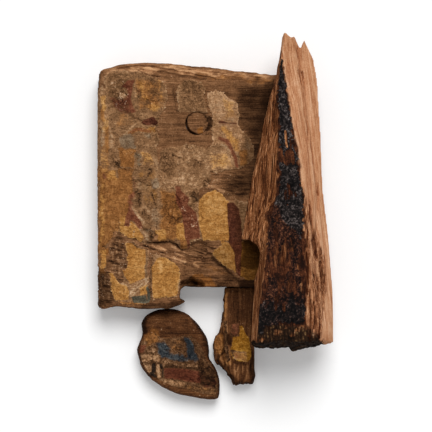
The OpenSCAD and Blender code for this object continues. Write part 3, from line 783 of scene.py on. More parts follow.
def dropPoints(obj, gone):
    pickOnly(obj)
    bpy.ops.object.mode_set(mode="EDIT")
    bpy.ops.mesh.select_mode(type="VERT")
    bpy.ops.mesh.select_all(action="DESELECT")
    bpy.ops.object.mode_set(mode="OBJECT")
    obj.data.vertices.foreach_set("select", gone)
    bpy.ops.object.mode_set(mode="EDIT")
    bpy.ops.mesh.delete(type="VERT")
    bpy.ops.mesh.select_all(action="SELECT")
    bpy.ops.mesh.delete_loose(use_faces=False)
    bpy.ops.object.mode_set(mode="OBJECT")


def neighbours(mask):
    rows, columns = mask.shape
    padded = np.pad(mask, 1)
    return [padded[i:i + rows, j:j + columns] for i in (0, 1, 2) for j in (0, 1, 2)]


def corners(grid):
    return grid[:-1, :-1], grid[:-1, 1:], grid[1:, :-1], grid[1:, 1:]


cleaning = {"regrow": 8, "cornerPasses": 4, "spread": 60}


# crumbs smaller than a few grid cells go, and so do corners where two patches touch in one point only
def cleanRagged(keep):
    solid = np.all(neighbours(keep), axis=0)
    for step in range(cleaning["regrow"]):
        solid = np.any(neighbours(solid), axis=0) & keep
    for step in range(cleaning["cornerPasses"]):
        a, b, c, d = corners(np.pad(np.all(corners(solid), axis=0), 1))
        solid = solid & ~((a & d & ~b & ~c) | (b & c & ~a & ~d))
    cells = np.all(corners(solid), axis=0)
    whole = np.all(neighbours(cells), axis=0)
    for step in range(cleaning["spread"]):
        whole = np.any([neighbours(whole)[k] for k in (1, 3, 4, 5, 7)], axis=0) & cells
    return np.any(corners(np.pad(whole, 1)), axis=0)


# a ragged coat laid on wood: a fine grid dropped onto it, kept inside the outline and given a thickness
def layCoat(name, wood, outline, coat, seams=(), holes=None):
    pickOnly(wood)
    bpy.ops.object.select_all(action="DESELECT")
    thick, spacing, ragged, seed = coat["thick"], coat["spacing"], coat["ragged"], coat["seed"]
    zTop = max(corner[2] for corner in wood.bound_box)
    us, vs = outline[::2], outline[1::2]
    margin = 4
    x0, y1 = fromPicture(min(us) - margin, min(vs) - margin, zTop)
    x1, y0 = fromPicture(max(us) + margin, max(vs) + margin, zTop)
    across, down = int((x1 - x0) / spacing), int((y1 - y0) / spacing)
    bpy.ops.mesh.primitive_grid_add(x_subdivisions=across, y_subdivisions=down, size=1)
    obj = bpy.context.object
    obj.name = name
    p = pointsOf(obj)
    count = np.arange(len(p))
    p[:, 0] = x0 + (p[:, 0] + 0.5) * (x1 - x0) + (lattice(count, 7, 1, seed) - 0.5) * spacing * 0.5
    p[:, 1] = y0 + (p[:, 1] + 0.5) * (y1 - y0) + (lattice(count, 9, 2, seed) - 0.5) * spacing * 0.5
    tree = treeOf(wood)
    drop = [tree.ray_cast((x, y, zTop + 0.02), (0, 0, -1))[0] for x, y in p[:, :2]]
    p[:, 2] = [hit.z if hit else -1.0 for hit in drop]
    u, v = toPicture(p)
    uu, vv = wavering(p, u, v, ragged, seed)
    inset = -patchDistance(uu, vv, pairs(outline)) + (noiseAt(p, 700, seed + 9, 2) - 0.5) * ragged * 1.6
    if holes:
        inset = np.minimum(inset, holes(p, u, v))
    keep = (inset > 0) & (p[:, 2] > 0)
    if "cliff" in coat:
        heights = p[:, 2].reshape(down + 1, across + 1)
        keep &= (np.max(neighbours(heights), axis=0) - heights < coat["cliff"]).ravel()
    rise = smooth(inset, -0.5, 3.0)
    for seam in seams:
        rise = np.maximum(rise, 1 - smooth(lineDistance(u, v, seam), 2.5, 5))
    p[:, 2] += thick * (0.35 + 0.65 * rise) + (noiseAt(p, 260, seed + 23) - 0.5) * thick * 0.4
    movePoints(obj, p)
    storeMask(obj, "edge", (1 - smooth(inset, 0.3, 2.0)) * (1 - rise * 0.6))
    dropPoints(obj, ~cleanRagged(keep.reshape(down + 1, across + 1)).ravel())
    finishWith(obj, "SOLIDIFY", thickness=thick * 0.75, offset=-1)
    shadeSmooth(obj, 60)
    return obj


def storeMarks(obj, marks, names, waver=1.4, edgePale=0.0, also=None):
    p = pointsOf(obj)
    u, v = toPicture(p)
    crisp, loose = wavering(p, u, v, waver), wavering(p, u, v, waver * 3, 15)
    for name in names:
        field = brushed(*crisp, marks.get(name, []), loose)
        if name == "pale" and edgePale:
            edge = np.empty(len(p), np.float32)
            obj.data.attributes["edge"].data.foreach_get("value", edge)
            field = np.maximum(field, edge * edgePale)
        if also and name in also:
            field = np.maximum(field, also[name])
        storeMask(obj, name, field)


woodMasks = ("pale", "dark", "ochre", "chalk", "torn")
paintMasks = ("pale", "dirt", "chalk", "grime", *paints)


panel = {
    "voxel": 0.00095, "boreKept": (0.0092, 0.0125), "ringWidth": 0.0034,
    "heart": (0.035, -0.07),  # y and z of the middle of the tree's rings
    "fibres": 0.0012, "tornFibres": 0.0016, "swell": 0.0014, "rimRidges": 0.0028, "brokenFoot": 0.0035,
    "cracks": [  # width in pixels, depth in metres, darkness
        crack(1.8, 0.0016, 0, 146, 242, 158, 243, 170, 241, 176, 244, 183, 250),
        crack(1.6, 0.001, 0, 146, 247, 165, 254, 184, 264, 200, 260, 214, 258),
        crack(1.5, 0.0012, 0, 150, 244, 164, 248, 180, 258),
        crack(1.2, 0.0006, 0, 174, 86, 174, 100, 178, 111),
        crack(1.6, 0.002, 0, 118, 69, 150, 67, 180, 72, 215, 79),
        crack(1.4, 0.0016, 0, 140, 70, 165, 73, 205, 80),
        crack(1.4, 0.0014, 0, 112, 72, 130, 72, 160, 77),
        crack(1.2, 0.0014, 0, 176, 68, 215, 73, 262, 79),
        crack(6.0, 0.009, 0, 184, 285, 192, 282, 200, 286),
        crack(2.2, 0.0012, 0, 208, 117, 211, 122, 209, 129),
    ],
    "hollows": [  # depth in metres, softness in pixels
        blot(0.0006, 2.0, 183, 247, 199, 243, 220, 244, 213, 255, 200, 259, 188, 256),
        blot(0.0009, 2.0, 128, 238, 147, 243, 165, 242, 184, 250, 186, 262, 165, 252, 147, 246),
        blot(0.0012, 4.0, 186, 256, 214, 258, 240, 284, 186, 288),
        blot(0.0016, 3.0, 97, 270, 110, 270, 114, 306, 97, 309),
        blot(0.001, 3.0, 110, 238, 124, 236, 126, 268, 112, 268),
    ],
}


def buildPanelWood():
    obj = copyOfNode("panel_board", "panelWood")
    voxelSkin(obj, panel["voxel"])
    p, n = pointsOf(obj), normalsOf(obj)
    u, v = toPicture(p)
    top = smooth(n[:, 2], 0.3, 0.8)
    rim = 1 - smooth(v, 74, 84)
    torn = brushed(u, v, [dict(h, much=1.0) for h in panel["hollows"]])
    fibres = noiseAt(p, (45, 420, 420), 11)
    swell = noiseAt(p, (30, 60, 60), 21)
    slanted = p @ np.array([[1, -0.25, 0], [0.25, 1, 0], [0, 0, 1]])
    ridges = noiseAt(slanted, (26, 330, 330), 17)
    broken = smooth(-n[:, 1], 0.4, 0.9) * smooth(v, 270, 285)
    low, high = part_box("locking_peg")
    fromPeg = np.hypot(p[:, 0] - (low[0] + high[0]) / 2, p[:, 1] - (low[1] + high[1]) / 2)
    worn = (fibres - 0.5) * (panel["fibres"] + panel["tornFibres"] * torn) + (swell - 0.5) * panel["swell"]
    worn = worn + (ridges - 0.5) * rim * panel["rimRidges"]
    p = p - n * (worn * smooth(fromPeg, *panel["boreKept"]))[:, None]
    p[:, 1] += broken * (noiseAt(p, (60, 60, 260), 27) - 0.35) * panel["brokenFoot"]
    uu, vv = wavering(p, u, v, 1.0)
    for split in panel["cracks"]:
        cut = 1 - smooth(lineDistance(uu, vv, split["line"]), 0, split["wide"])
        p[:, 2] -= top * cut * split["deep"]
    for hollow in panel["hollows"]:
        p[:, 2] -= top * brushed(uu, vv, [hollow])
    p[:, 2] = np.maximum(p[:, 2], 0)
    movePoints(obj, p)
    shadeSmooth(obj)
    fromHeart = np.hypot(p[:, 1] - panel["heart"][0], p[:, 2] - panel["heart"][1])
    fromHeart = fromHeart + noiseAt(p, 40, 33) * 0.006
    rings = noiseAt(np.stack([fromHeart, fromHeart * 0, fromHeart * 0], 1), 1 / panel["ringWidth"], 35) - 0.5
    ends = smooth(np.abs(n[:, 0]), 0.6, 0.9) * noiseAt(p, 90, 37)
    late = {"dark": smooth(rings, 0.02, 0.3) * ends, "pale": smooth(-rings, 0.02, 0.3) * ends * 0.6}
    storeMarks(obj, panelWoodMarks, woodMasks, 2.0, 0.0, late)
    settle(obj, "panel", woodFinish("caseWood", "x", caseTones), "case_wood", "panel_board")
    print("panel wood done", len(obj.data.polygons))
    return obj


panelWood = buildPanelWood()


peg = {
    "voxel": 0.0005, "crumbled": 0.0014, "gapTowards": math.radians(215), "shrunk": 0.06, "swell": 0.14,
    "packed": 0.022, "rimDark": 0.5, "facePits": 0.0008, "tenonVoxel": 0.0008, "tenonPits": 0.0005,
}


def buildPeg():
    obj = copyOfNode("locking_peg", "lockingPeg")
    voxelSkin(obj, peg["voxel"], 3)
    p = pointsOf(obj)
    low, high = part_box("locking_peg")
    x, y = (low[0] + high[0]) / 2, (low[1] + high[1]) / 2
    out = np.hypot(p[:, 0] - x, p[:, 1] - y)
    turn = np.arctan2(p[:, 1] - y, p[:, 0] - x)
    above = smooth(p[:, 2], peg["packed"], peg["packed"] + 0.002)
    loose = smooth(np.cos(turn - peg["gapTowards"]), 0.25, 0.9) * above
    swell = 1 + smooth(out, 0.003, 0.0075) * (peg["swell"] * (1 - loose) - peg["shrunk"] * loose)
    p[:, 0] = x + (p[:, 0] - x) * swell
    p[:, 1] = y + (p[:, 1] - y) * swell
    right = smooth(p[:, 0] - x, 0.004, 0.008) * smooth(p[:, 2], 0.02, 0.027)
    p[:, 2] -= right * peg["crumbled"] * noiseAt(p, 420, 3)
    p[:, 2] -= smooth(p[:, 2], 0.02, 0.026) * (noiseAt(p, (60, 500, 60), 9) - 0.3) * peg["facePits"]
    movePoints(obj, p)
    shadeSmooth(obj)
    u, v = toPicture(p)
    edge = smooth(np.hypot(p[:, 0] - x, p[:, 1] - y), 0.0074, 0.0082) * peg["rimDark"]
    crumbs = right * smooth(noiseAt(p, 500, 13), 0.38, 0.55)
    storeMask(obj, "dark", np.maximum(edge, crumbs))
    storeMask(obj, "ochre", brushed(u, v, [blot(0.9, 1, 197, 129, 203, 126, 203, 133, 198, 134)]))
    storeMask(obj, "chalk", brushed(u, v, [stroke(2, 1.0, 0.6, 203, 130, 205, 131)]))
    settle(obj, "peg", woodFinish("pegWood", "x", caseTones), "peg_wood", "locking_peg")
    tenon = copyOfNode("lid_tenon", "lidTenon")
    voxelSkin(tenon, peg["tenonVoxel"])
    p, n = pointsOf(tenon), normalsOf(tenon)
    p = p - n * ((noiseAt(p, (330, 16, 330), 12) - 0.2) * peg["tenonPits"])[:, None]
    movePoints(tenon, p)
    shadeSmooth(tenon)
    settle(tenon, "panel", woodFinish("tenonWood", "y", caseTones), "peg_wood", "lid_tenon")
    print("peg and tenon done")


buildPeg()

# where neighbouring islands of plaster run on into each other without a break
plasterSeams = [[(158, 150), (158, 240)], [(208, 148), (210, 172)], [(199, 198), (200, 241)]]
plasterIslands = {
    "plaster_left": [
        104, 77, 112, 71, 125, 70, 140, 72, 157, 77, 166, 84, 168, 95, 166, 108, 160, 116, 158, 126,
        160, 138, 156, 148, 159, 160, 159, 185, 159, 205, 157, 236, 151, 242, 143, 243, 136, 239, 128, 238,
        120, 233, 116, 230, 112, 238, 108, 247, 104, 252,
    ],
    "plaster_centre": [
        161, 150, 172, 146, 188, 144, 203, 146, 209, 150, 211, 171, 212, 180, 206, 187, 199, 190, 200, 205,
        200, 222, 200.5, 240, 191, 242, 190, 249, 181, 250, 178, 243, 165, 241, 157, 243, 157, 210,
        157, 180,
    ],
    "plaster_by_peg": [
        176, 89, 180, 84, 184, 80, 192, 79, 201, 81, 206, 88, 205, 98, 209, 112, 202, 113, 190, 113,
        181, 112, 177, 111, 178, 104, 175, 98,
    ],
    "plaster_upper_right": [
        208, 92, 214, 89, 222, 91, 230, 97, 237, 102, 239, 112, 238, 124, 243, 131, 250, 138, 255, 148,
        254, 158, 249, 164, 240, 169, 228, 171, 216, 173, 209, 171, 207, 160, 207, 150, 212, 141, 211, 130,
        213, 122, 210, 110, 207, 100,
    ],
    "plaster_lower_right": [
        198, 200, 204, 194, 214, 190, 222, 193, 227, 200, 236, 199, 250, 203, 270, 210, 285, 220, 285, 274,
        262, 280, 248, 280, 238, 276, 226, 268, 212, 256, 213, 250, 221, 246, 219, 241, 205, 241,
        199.5, 239, 198.5, 220,
    ],
    "plaster_foot_left": [
        125, 241, 132, 240, 141, 246, 149, 250, 150, 275, 151, 300, 146, 304, 134, 305, 122, 305, 114, 302,
        111, 290, 108, 272, 113, 273, 119, 282, 124, 281, 121, 270, 128, 268, 127, 256,
    ],
    "plaster_foot_right": [
        151, 253, 160, 255, 170, 260, 180, 266, 181, 280, 179, 294, 176, 298, 166, 297, 158, 299, 151, 302,
        150, 280,
    ],
}


plaster = {"thick": 0.0009, "spacing": 0.00055, "ragged": 1.8, "seed": 5, "waver": 1.6, "edgePale": 0.6}


def camelName(node):
    first, *others = node.split("_")
    return first + "".join(word.title() for word in others)


def buildPlaster():
    slots = {s["node"]: s["material_slot"] for s in frame["record"]["subparts"]}
    carried = {"plaster_left": ["panel_blue_paint"], "plaster_centre": ["panel_red_paint"]}
    coat = plasterFinish("casePlaster", plasterTones)
    for node, outline in plasterIslands.items():
        obj = layCoat(camelName(node), panelWood, outline, plaster, plasterSeams)
        storeMarks(obj, panelMarks, paintMasks, plaster["waver"], plaster["edgePale"])
        settle(obj, "panel", coat, slots[node], node, *carried.get(node, []))
        print(obj.name, len(obj.data.polygons))
    return coat


casePlaster = buildPlaster()


arris = {
    "radius": 0.006, "proud": 0.0006, "skirt": 0.009, "step": 0.0007, "thick": 0.0009, "swell": 0.0006,
    "topRow": 84, "footRow": 274,
}


def buildArrisPlaster():
    low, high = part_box("panel_board")
    x0, z0 = low[0] + arris["radius"], high[2] - arris["radius"]
    bend = arris["radius"] * math.pi / 2
    across = int((arris["skirt"] + bend) / arris["step"])
    yHigh = fromPicture(0, arris["topRow"], high[2])[1]
    yLow = fromPicture(0, arris["footRow"], high[2])[1]
    bpy.ops.object.select_all(action="DESELECT")
    down = int((yHigh - yLow) / arris["step"])
    bpy.ops.mesh.primitive_grid_add(x_subdivisions=across, y_subdivisions=down, size=1)
    obj = bpy.context.object
    obj.name = "plasterEdge"
    p = pointsOf(obj)
    s = (p[:, 0] + 0.5) * (arris["skirt"] + bend)
    y = yLow + (p[:, 1] + 0.5) * (yHigh - yLow)
    angle = np.clip((s - arris["skirt"]) / arris["radius"], 0, math.pi / 2)
    q = np.stack([s, y, y * 0], 1)
    outward = np.stack([-np.cos(angle), y * 0, np.sin(angle)], 1)
    inner = np.stack([x0 + y * 0, y, z0 - np.maximum(arris["skirt"] - s, 0)], 1)
    starts = inner + outward * arris["radius"] * 2
    tree = treeOf(panelWood)
    falls = [tree.ray_cast(tuple(start), tuple(-way))[3] for start, way in zip(starts, outward)]
    wood = np.array([arris["radius"] * 2 - fall if fall else arris["radius"] for fall in falls])
    r = np.clip(wood, arris["radius"] - 0.003, arris["radius"] + 0.001) + arris["proud"]
    p = inner + outward * (r + (noiseAt(q, 200, 61) - 0.5) * arris["swell"])[:, None]
    ends = np.minimum(yHigh - y, y - yLow + (s - arris["skirt"]) * 0.4) * 900 - 4
    sides = np.minimum(s - 0.0025, arris["skirt"] + bend - s + 0.002) * 900
    keep = np.minimum(ends, sides) + (noiseAt(q, 130, 71) - 0.42) * 11 > 0
    movePoints(obj, p)
    dropPoints(obj, ~keep)
    finishWith(obj, "SOLIDIFY", thickness=arris["thick"], offset=-1)
    shadeSmooth(obj, 60)
    storeMarks(obj, panelMarks, paintMasks, plaster["waver"])
    settle(obj, "panel", casePlaster, "ochre_plaster", "plaster_edge")
    print("arris plaster done", len(obj.data.polygons))


buildArrisPlaster()


# a scratch through the resin, down to the wood
scratchLine = (285.5, 131, 286, 140, 287, 147)

wedge = {
    "voxel": 0.00075, "splinters": 34, "flankRun": 16,
    "fibres": 0.0008, "tornFibres": 0.0014, "agedFibres": 0.0006, "fine": 0.0008, "swell": 0.002,
    "splits": 0.001, "endRough": 0.003,
    "cracks": [
        crack(1.3, 0.0008, 0.3, 295, 40, 299, 58, 301, 66),
        crack(1.6, 0.0016, 0.9, 301.5, 63, 302.5, 69),
        crack(1.1, 0.0006, 0.45, 300, 70, 302, 78, 304, 89),
        crack(1.4, 0.0012, 0.5, 298, 68, 301, 90, 306, 118, 311, 142, 316, 182, 319, 200),
        crack(1.2, 0.0018, 0.8, 306, 205, 308, 222, 308, 242),
        crack(1.3, 0.0018, 1.0, 310, 208, 312, 224, 314, 240, 317, 259),
        crack(1.2, 0.001, 0.8, 311, 236, 313, 246, 314, 257),
        crack(2.6, 0.0036, 1.0, 321, 260, 321, 268, 323, 278, 324, 287, 322, 291),
        crack(1.8, 0.0014, 1.0, 306, 244, 308, 268, 307, 296),
        crack(1.2, 0.001, 0.9, 313, 268, 315, 278, 314, 290),
        crack(2.0, 0.0024, 1.0, 316, 283, 318, 291, 318, 298),
        crack(1.4, 0.0014, 1.0, 319, 298, 320, 316, 319, 336),
        crack(1.2, 0.0016, 0.8, 309, 290, 311, 308, 310, 328),
        crack(1.2, 0.0016, 0.8, 314, 300, 315, 316, 314, 334),
        crack(1.4, 0.0016, 0.55, 275, 96, 273, 112, 273, 132),
        crack(1.0, 0.001, 0.35, 270, 118, 268, 142, 266, 164),
        crack(1.2, 0.0014, 0.8, 262, 160, 261, 190, 259, 215, 257, 241),
        crack(1.6, 0.0012, 0.6, 266, 165, 265, 180, 263, 200),
        crack(1.0, 0.001, 0.5, 254, 196, 250, 226),
        crack(1.0, 0.001, 0.4, 262, 250, 260, 280, 257, 310),
    ],
    "torn": [
        blot(
            1, 2.5, 303, 194, 307, 206, 312, 222, 318, 244, 325, 262, 327, 292, 321, 336, 305, 336,
            304, 262,
        ),
    ],
    "aged": [
        blot(
            1, 1.2, 282, 36, 278, 60, 283, 70, 300, 178, 304, 206, 305, 262, 306, 330, 318, 339, 326, 352,
            230, 360, 230, 60,
        ),
    ],
    "soaked": [
        blot(
            0.9, 2.5, 279, 58, 283, 66, 290, 108, 298, 150, 303, 186, 306, 215, 306, 326, 258, 332,
            258, 306, 267, 250, 267, 215, 277, 190, 277, 110, 276, 70,
        ),
        stroke(3, 0.8, 1.2, 280, 46, 279, 60),
        stroke(4, 0.9, 1.2, 278, 60, 277, 78),
    ],
    "showing": [
        stroke(4, 0.5, 2.5, 275, 247, 276, 268),
        stroke(6, 0.5, 3, 283, 246, 284, 262),
        stroke(4, 0.45, 2.5, 291, 249, 293, 265),
        stroke(3, 0.35, 2, 287, 262, 289, 298),
        stroke(4, 0.55, 2, 295, 264, 299, 282, 300, 300),
        stroke(3, 0.4, 2, 271, 280, 272, 300),
        blot(0.25, 3, 281, 150, 298, 152, 300, 166, 282, 164),
        blot(0.15, 4, 268, 204, 302, 204, 300, 246, 268, 246),
        stroke(2, 1.0, 0.8, *scratchLine),
        stroke(2, 0.6, 1.5, 303, 205, 302, 214, 304, 230),
    ],
    "end": [
        blot(1.2, 2, 244, 341, 258, 338, 276, 335, 300, 335, 314, 338, 322, 342, 328, 356, 244, 358),
        blot(0.72, 4, 257, 325, 284, 323, 306, 325, 318, 331, 321, 342, 256, 344),
    ],
    "flecks": [  # place and length
        (273, 325, 1.5), (280, 327, 1), (283, 324, 1.5), (286, 326, 2), (289, 323, 4), (290, 330, 1),
        (297, 331, 1), (303, 328, 2), (305, 332, 1), (311, 330, 3), (313, 334, 2),
    ],
    # painted highlights along the ridges of the split faces, together with the wood's own pale scratch, pale
    # strip and pale flecks
    "lit": [
        stroke(1.6, 0.4, 1, 283, 44, 285, 70, 290, 100, 295, 130, 303, 180),
        stroke(1.8, 0.4, 1, 299, 90, 304, 118, 309, 142, 314, 182),
        stroke(1.8, 0.5, 1, 307, 208, 309, 226, 311, 244, 312, 262),
        stroke(1.8, 0.4, 1, 316, 226, 320, 246),
        stroke(2, 0.4, 1, 317, 262, 318, 276),
        blot(0.2, 3, 321, 214, 327, 216, 334, 336, 322, 336, 323, 292, 326, 270),
        stroke(2, 0.7, 0.8, *scratchLine),
        stroke(2, 0.4, 1, 303, 205, 302, 214, 304, 230),
    ],
    "footRows": (322, 340),
    "footLine": [  # column, and how many pixels its foot is pushed down
        (250, 1.0), (256, 3.4), (262, 3.6), (270, 3.0), (280, 1.4), (289, 0.2), (291, 2.4), (300, 2.2),
        (310, 1.6), (320, 0.4), (332, 0),
    ],
}


def buildWedge():
    obj = copyOfNode("wedge_timber", "wedgeWood")
    voxelSkin(obj, wedge["voxel"])
    p, n = pointsOf(obj), normalsOf(obj)
    u, v = toPicture(p)
    footPush = np.interp(u, *zip(*wedge["footLine"])) * picture["pixel"]
    p[:, 1] -= smooth(v, *wedge["footRows"]) * footPush
    facing = smooth(n[:, 2], 0.0, 0.3)
    splinter = (noiseAt(p, (600, 20, 600), 59, 2) - 0.5) * wedge["splinters"]
    oldFlank = (1 - facing) * (splinter + wedge["flankRun"])
    torn = brushed(u, v + splinter, wedge["torn"])
    aged = brushed(u, v + oldFlank, wedge["aged"])
    fibres = noiseAt(p, (420, 7, 420), 31)
    swell = noiseAt(p, (120, 14, 120), 41)
    splits = smooth(noiseAt(p, (560, 8, 560), 53), 0.64, 0.8) * aged * 0.6
    rough = wedge["fibres"] + wedge["tornFibres"] * torn + wedge["agedFibres"] * aged
    fine = (noiseAt(p, (640, 12, 640), 33) - 0.5) * wedge["fine"] * aged
    worn = (fibres - 0.5) * rough + fine + (swell - 0.5) * wedge["swell"] + splits * wedge["splits"]
    p = p - n * worn[:, None]
    end = smooth(-n[:, 1], 0.4, 0.9) * smooth(v, 325, 340)
    p[:, 1] += end * ((noiseAt(p, (260, 260, 420), 47) - 0.5) * wedge["endRough"])
    uu, vv = wavering(p, u, v, 0.8)
    for split in wedge["cracks"]:
        cut = facing * (1 - smooth(lineDistance(uu, vv + splinter, split["line"]), 0, split["wide"]))
        p = p - n * (cut * split["deep"])[:, None]
        splits = np.maximum(splits, cut * split["dark"])
    movePoints(obj, p)
    shadeSmooth(obj)
    crisp, loose = wavering(p, u, v, 1.0), wavering(p, u, v, 3.5, 15)
    flecks = [stroke(1.4, 0.7, 0.9, x, y, x + 0.5, y + run) for x, y, run in wedge["flecks"]]
    storeMask(obj, "aged", brushed(uu, vv + oldFlank, wedge["aged"]))
    storeMask(obj, "torn", torn)
    soaked = brushed(*crisp, wedge["soaked"], loose) - brushed(*crisp, wedge["showing"], loose)
    storeMask(obj, "soaked", soaked * facing)
    storeMask(obj, "end", brushed(*crisp, wedge["end"], loose) / 1.2)
    storeMask(obj, "split", splits)
    storeMask(obj, "lit", brushed(*crisp, wedge["lit"] + flecks, loose))
    wood = Finish("splitWood", 0.06)
    fibres = wood.noise(1.0, 5.0, 0.6, 0.0, wood.stretched((640, 8, 640), -0.14))
    lines = wood.noise(1.0, 3.0, 0.6, 0.1, wood.stretched((1000, 20, 1000), -0.14))
    oldFibres = wood.noise(1.0, 5.0, 0.7, 0.0, wood.stretched((960, 34, 960), 0.08))
    bands = wood.noise(1.0, 3.0, 0.6, 0.3, wood.stretched((170, 3.5, 170)))
    patchy = wood.noise(130.0, 5.0, 0.65)
    dust = wood.noise(1000.0, 3.0, 0.7)
    value = 0.6 * (lines - 0.5) + 0.4 * (bands - 0.5) + 0.35 * (patchy - 0.5) + 0.55 * (dust - 0.5)
    gaping = wood.mask("split") * (1.15 - 0.4 * oldFibres.between(0.4, 0.62))
    # this mask lightens the wood: painted highlights on the ridges and the wood's own pale marks
    value = 0.52 + value + 0.34 * wood.mask("lit") - 0.3 * gaping
    fresh = wood.tones(value + 0.5 * (fibres - 0.5) + 0.3 * (lines - 0.5), freshTones)
    even = 0.3 * (bands - 0.5) + 0.25 * (patchy - 0.5)
    old = wood.tones(value - even + 2.4 * (oldFibres - 0.5) + 0.01, agedTones)
    colour = wood.mixed((wood.mask("aged") + 0.4 * (lines - 0.5)).between(0.3, 0.7), fresh, old)
    ripped = (wood.mask("torn") + 0.5 * (patchy - 0.5) - 0.5 * (oldFibres - 0.5)).between(0.25, 0.65)
    shreds = value + 1.7 * (oldFibres - 0.5) + 0.5 * (patchy - 0.5) + 0.01
    colour = wood.mixed(ripped * 0.85, colour, wood.tones(shreds, tornTones))
    black = wood.mask("soaked") + 0.9 * (bands - 0.5) + 1.0 * (patchy - 0.5) + 1.2 * (oldFibres - 0.5)
    colour = wood.mixed(black.between(0.25, 0.75), colour, wood.tones(value + 0.8 * (patchy - 0.5), tarTones))
    burnt = wood.mask("end") + 1.5 * (patchy - 0.5) - 0.2 * (oldFibres - 0.5)
    colour = wood.mixed(burnt.between(0.25, 0.6), colour, wood.tones(value + 0.6 * (patchy - 0.5), endTones))
    colour = wood.mixed(gaping * 0.7, colour, tone(58, 25, 10))
    wood.done(colour, 0.85, 0.4 * fibres + 0.4 * lines + 0.4 * oldFibres + 0.2 * dust, 0.0014, 0.9)
    settle(obj, "wedge", wood, "split_wood", "wedge_timber")
    print("wedge wood done", len(obj.data.polygons))
    return obj


wedgeWood = buildWedge()


resin = {
    "coat": {"thick": 0.0008, "spacing": 0.00055, "ragged": 3.2, "seed": 81, "cliff": 0.0011},
    "outline": [
        280, 47, 281.5, 54, 283, 64, 285, 80, 288, 100, 292, 125, 297, 150, 301, 178, 304, 200, 303, 222,
        301, 240, 300, 262, 303, 285, 305, 300, 306, 308, 305, 322, 296, 325, 285, 322, 275, 326, 267, 325,
        265, 333, 258, 335, 256, 322, 258, 305, 266, 297, 268, 270, 267, 250, 266, 232, 268, 212, 271, 202,
        278, 192, 280, 170, 279, 140, 278, 110, 278, 85, 279, 60,
    ],
    "bare": [
        blot(1, 5, 266, 250, 284, 246, 305, 246, 306, 270, 280, 274, 266, 270),
        blot(0.6, 9, 266, 262, 302, 262, 300, 282, 301, 300, 291, 296, 283, 307, 268, 302),
        blot(0.8, 3, 278, 150, 298, 151, 301, 166, 280, 165),
        blot(0.25, 4, 266, 215, 280, 215, 282, 248, 266, 248),
    ],
    "scratch": [stroke(2.2, 1, 0.8, *scratchLine)],
    "thin": [
        blot(
            0.9, 5, 264, 206, 279, 204, 285, 224, 300, 234, 306, 250, 306, 296, 299, 307, 290, 299,
            282, 310, 273, 301, 264, 309,
        ),
        blot(0.4, 4, 257, 300, 306, 300, 306, 328, 257, 332),
    ],
    "burnt": [blot(1, 4, 257, 300, 306, 300, 306, 328, 257, 332)],
}


def resinHoles(p, u, v):
    bare = brushed(u, v, resin["bare"])
    thin = noiseAt(p, (360, 60, 360), 85) - 0.28 - 0.3 * bare + 0.5 * bare * (noiseAt(p, 170, 87) - 0.5)
    return np.minimum(thin * 12, 4 - 5 * brushed(u, v, resin["scratch"]))


def buildResin():
    obj = layCoat("wedgeResin", wedgeWood, resin["outline"], resin["coat"], (), resinHoles)
    storeMarks(obj, resin, ("thin", "burnt"))
    tar = Finish("blackResin", 0.08)
    crust = tar.noise(620.0, 5.0, 0.72, 0.3)
    film = tar.noise(150.0, 5.0, 0.65)
    value = 0.51 + 1.8 * (crust - 0.5) + 0.8 * (film - 0.5) - 0.08 * tar.mask("burnt")
    # the crust noise's peaks turn pale grey on the thick resin: painted glints
    thick = tar.tones(value, crustAndGlintTones)
    thin = tar.tones(value, filmTones)
    colour = tar.mixed((tar.mask("thin") + 0.9 * (film - 0.5)).between(0.3, 0.7), thick, thin)
    tar.done(colour, 0.85 - 0.4 * film, crust + 0.3 * film, 0.0014, 1.0)
    settle(obj, "wedge", tar, "resin", "wedge_resin")
    print("resin done", len(obj.data.polygons))


buildResin()


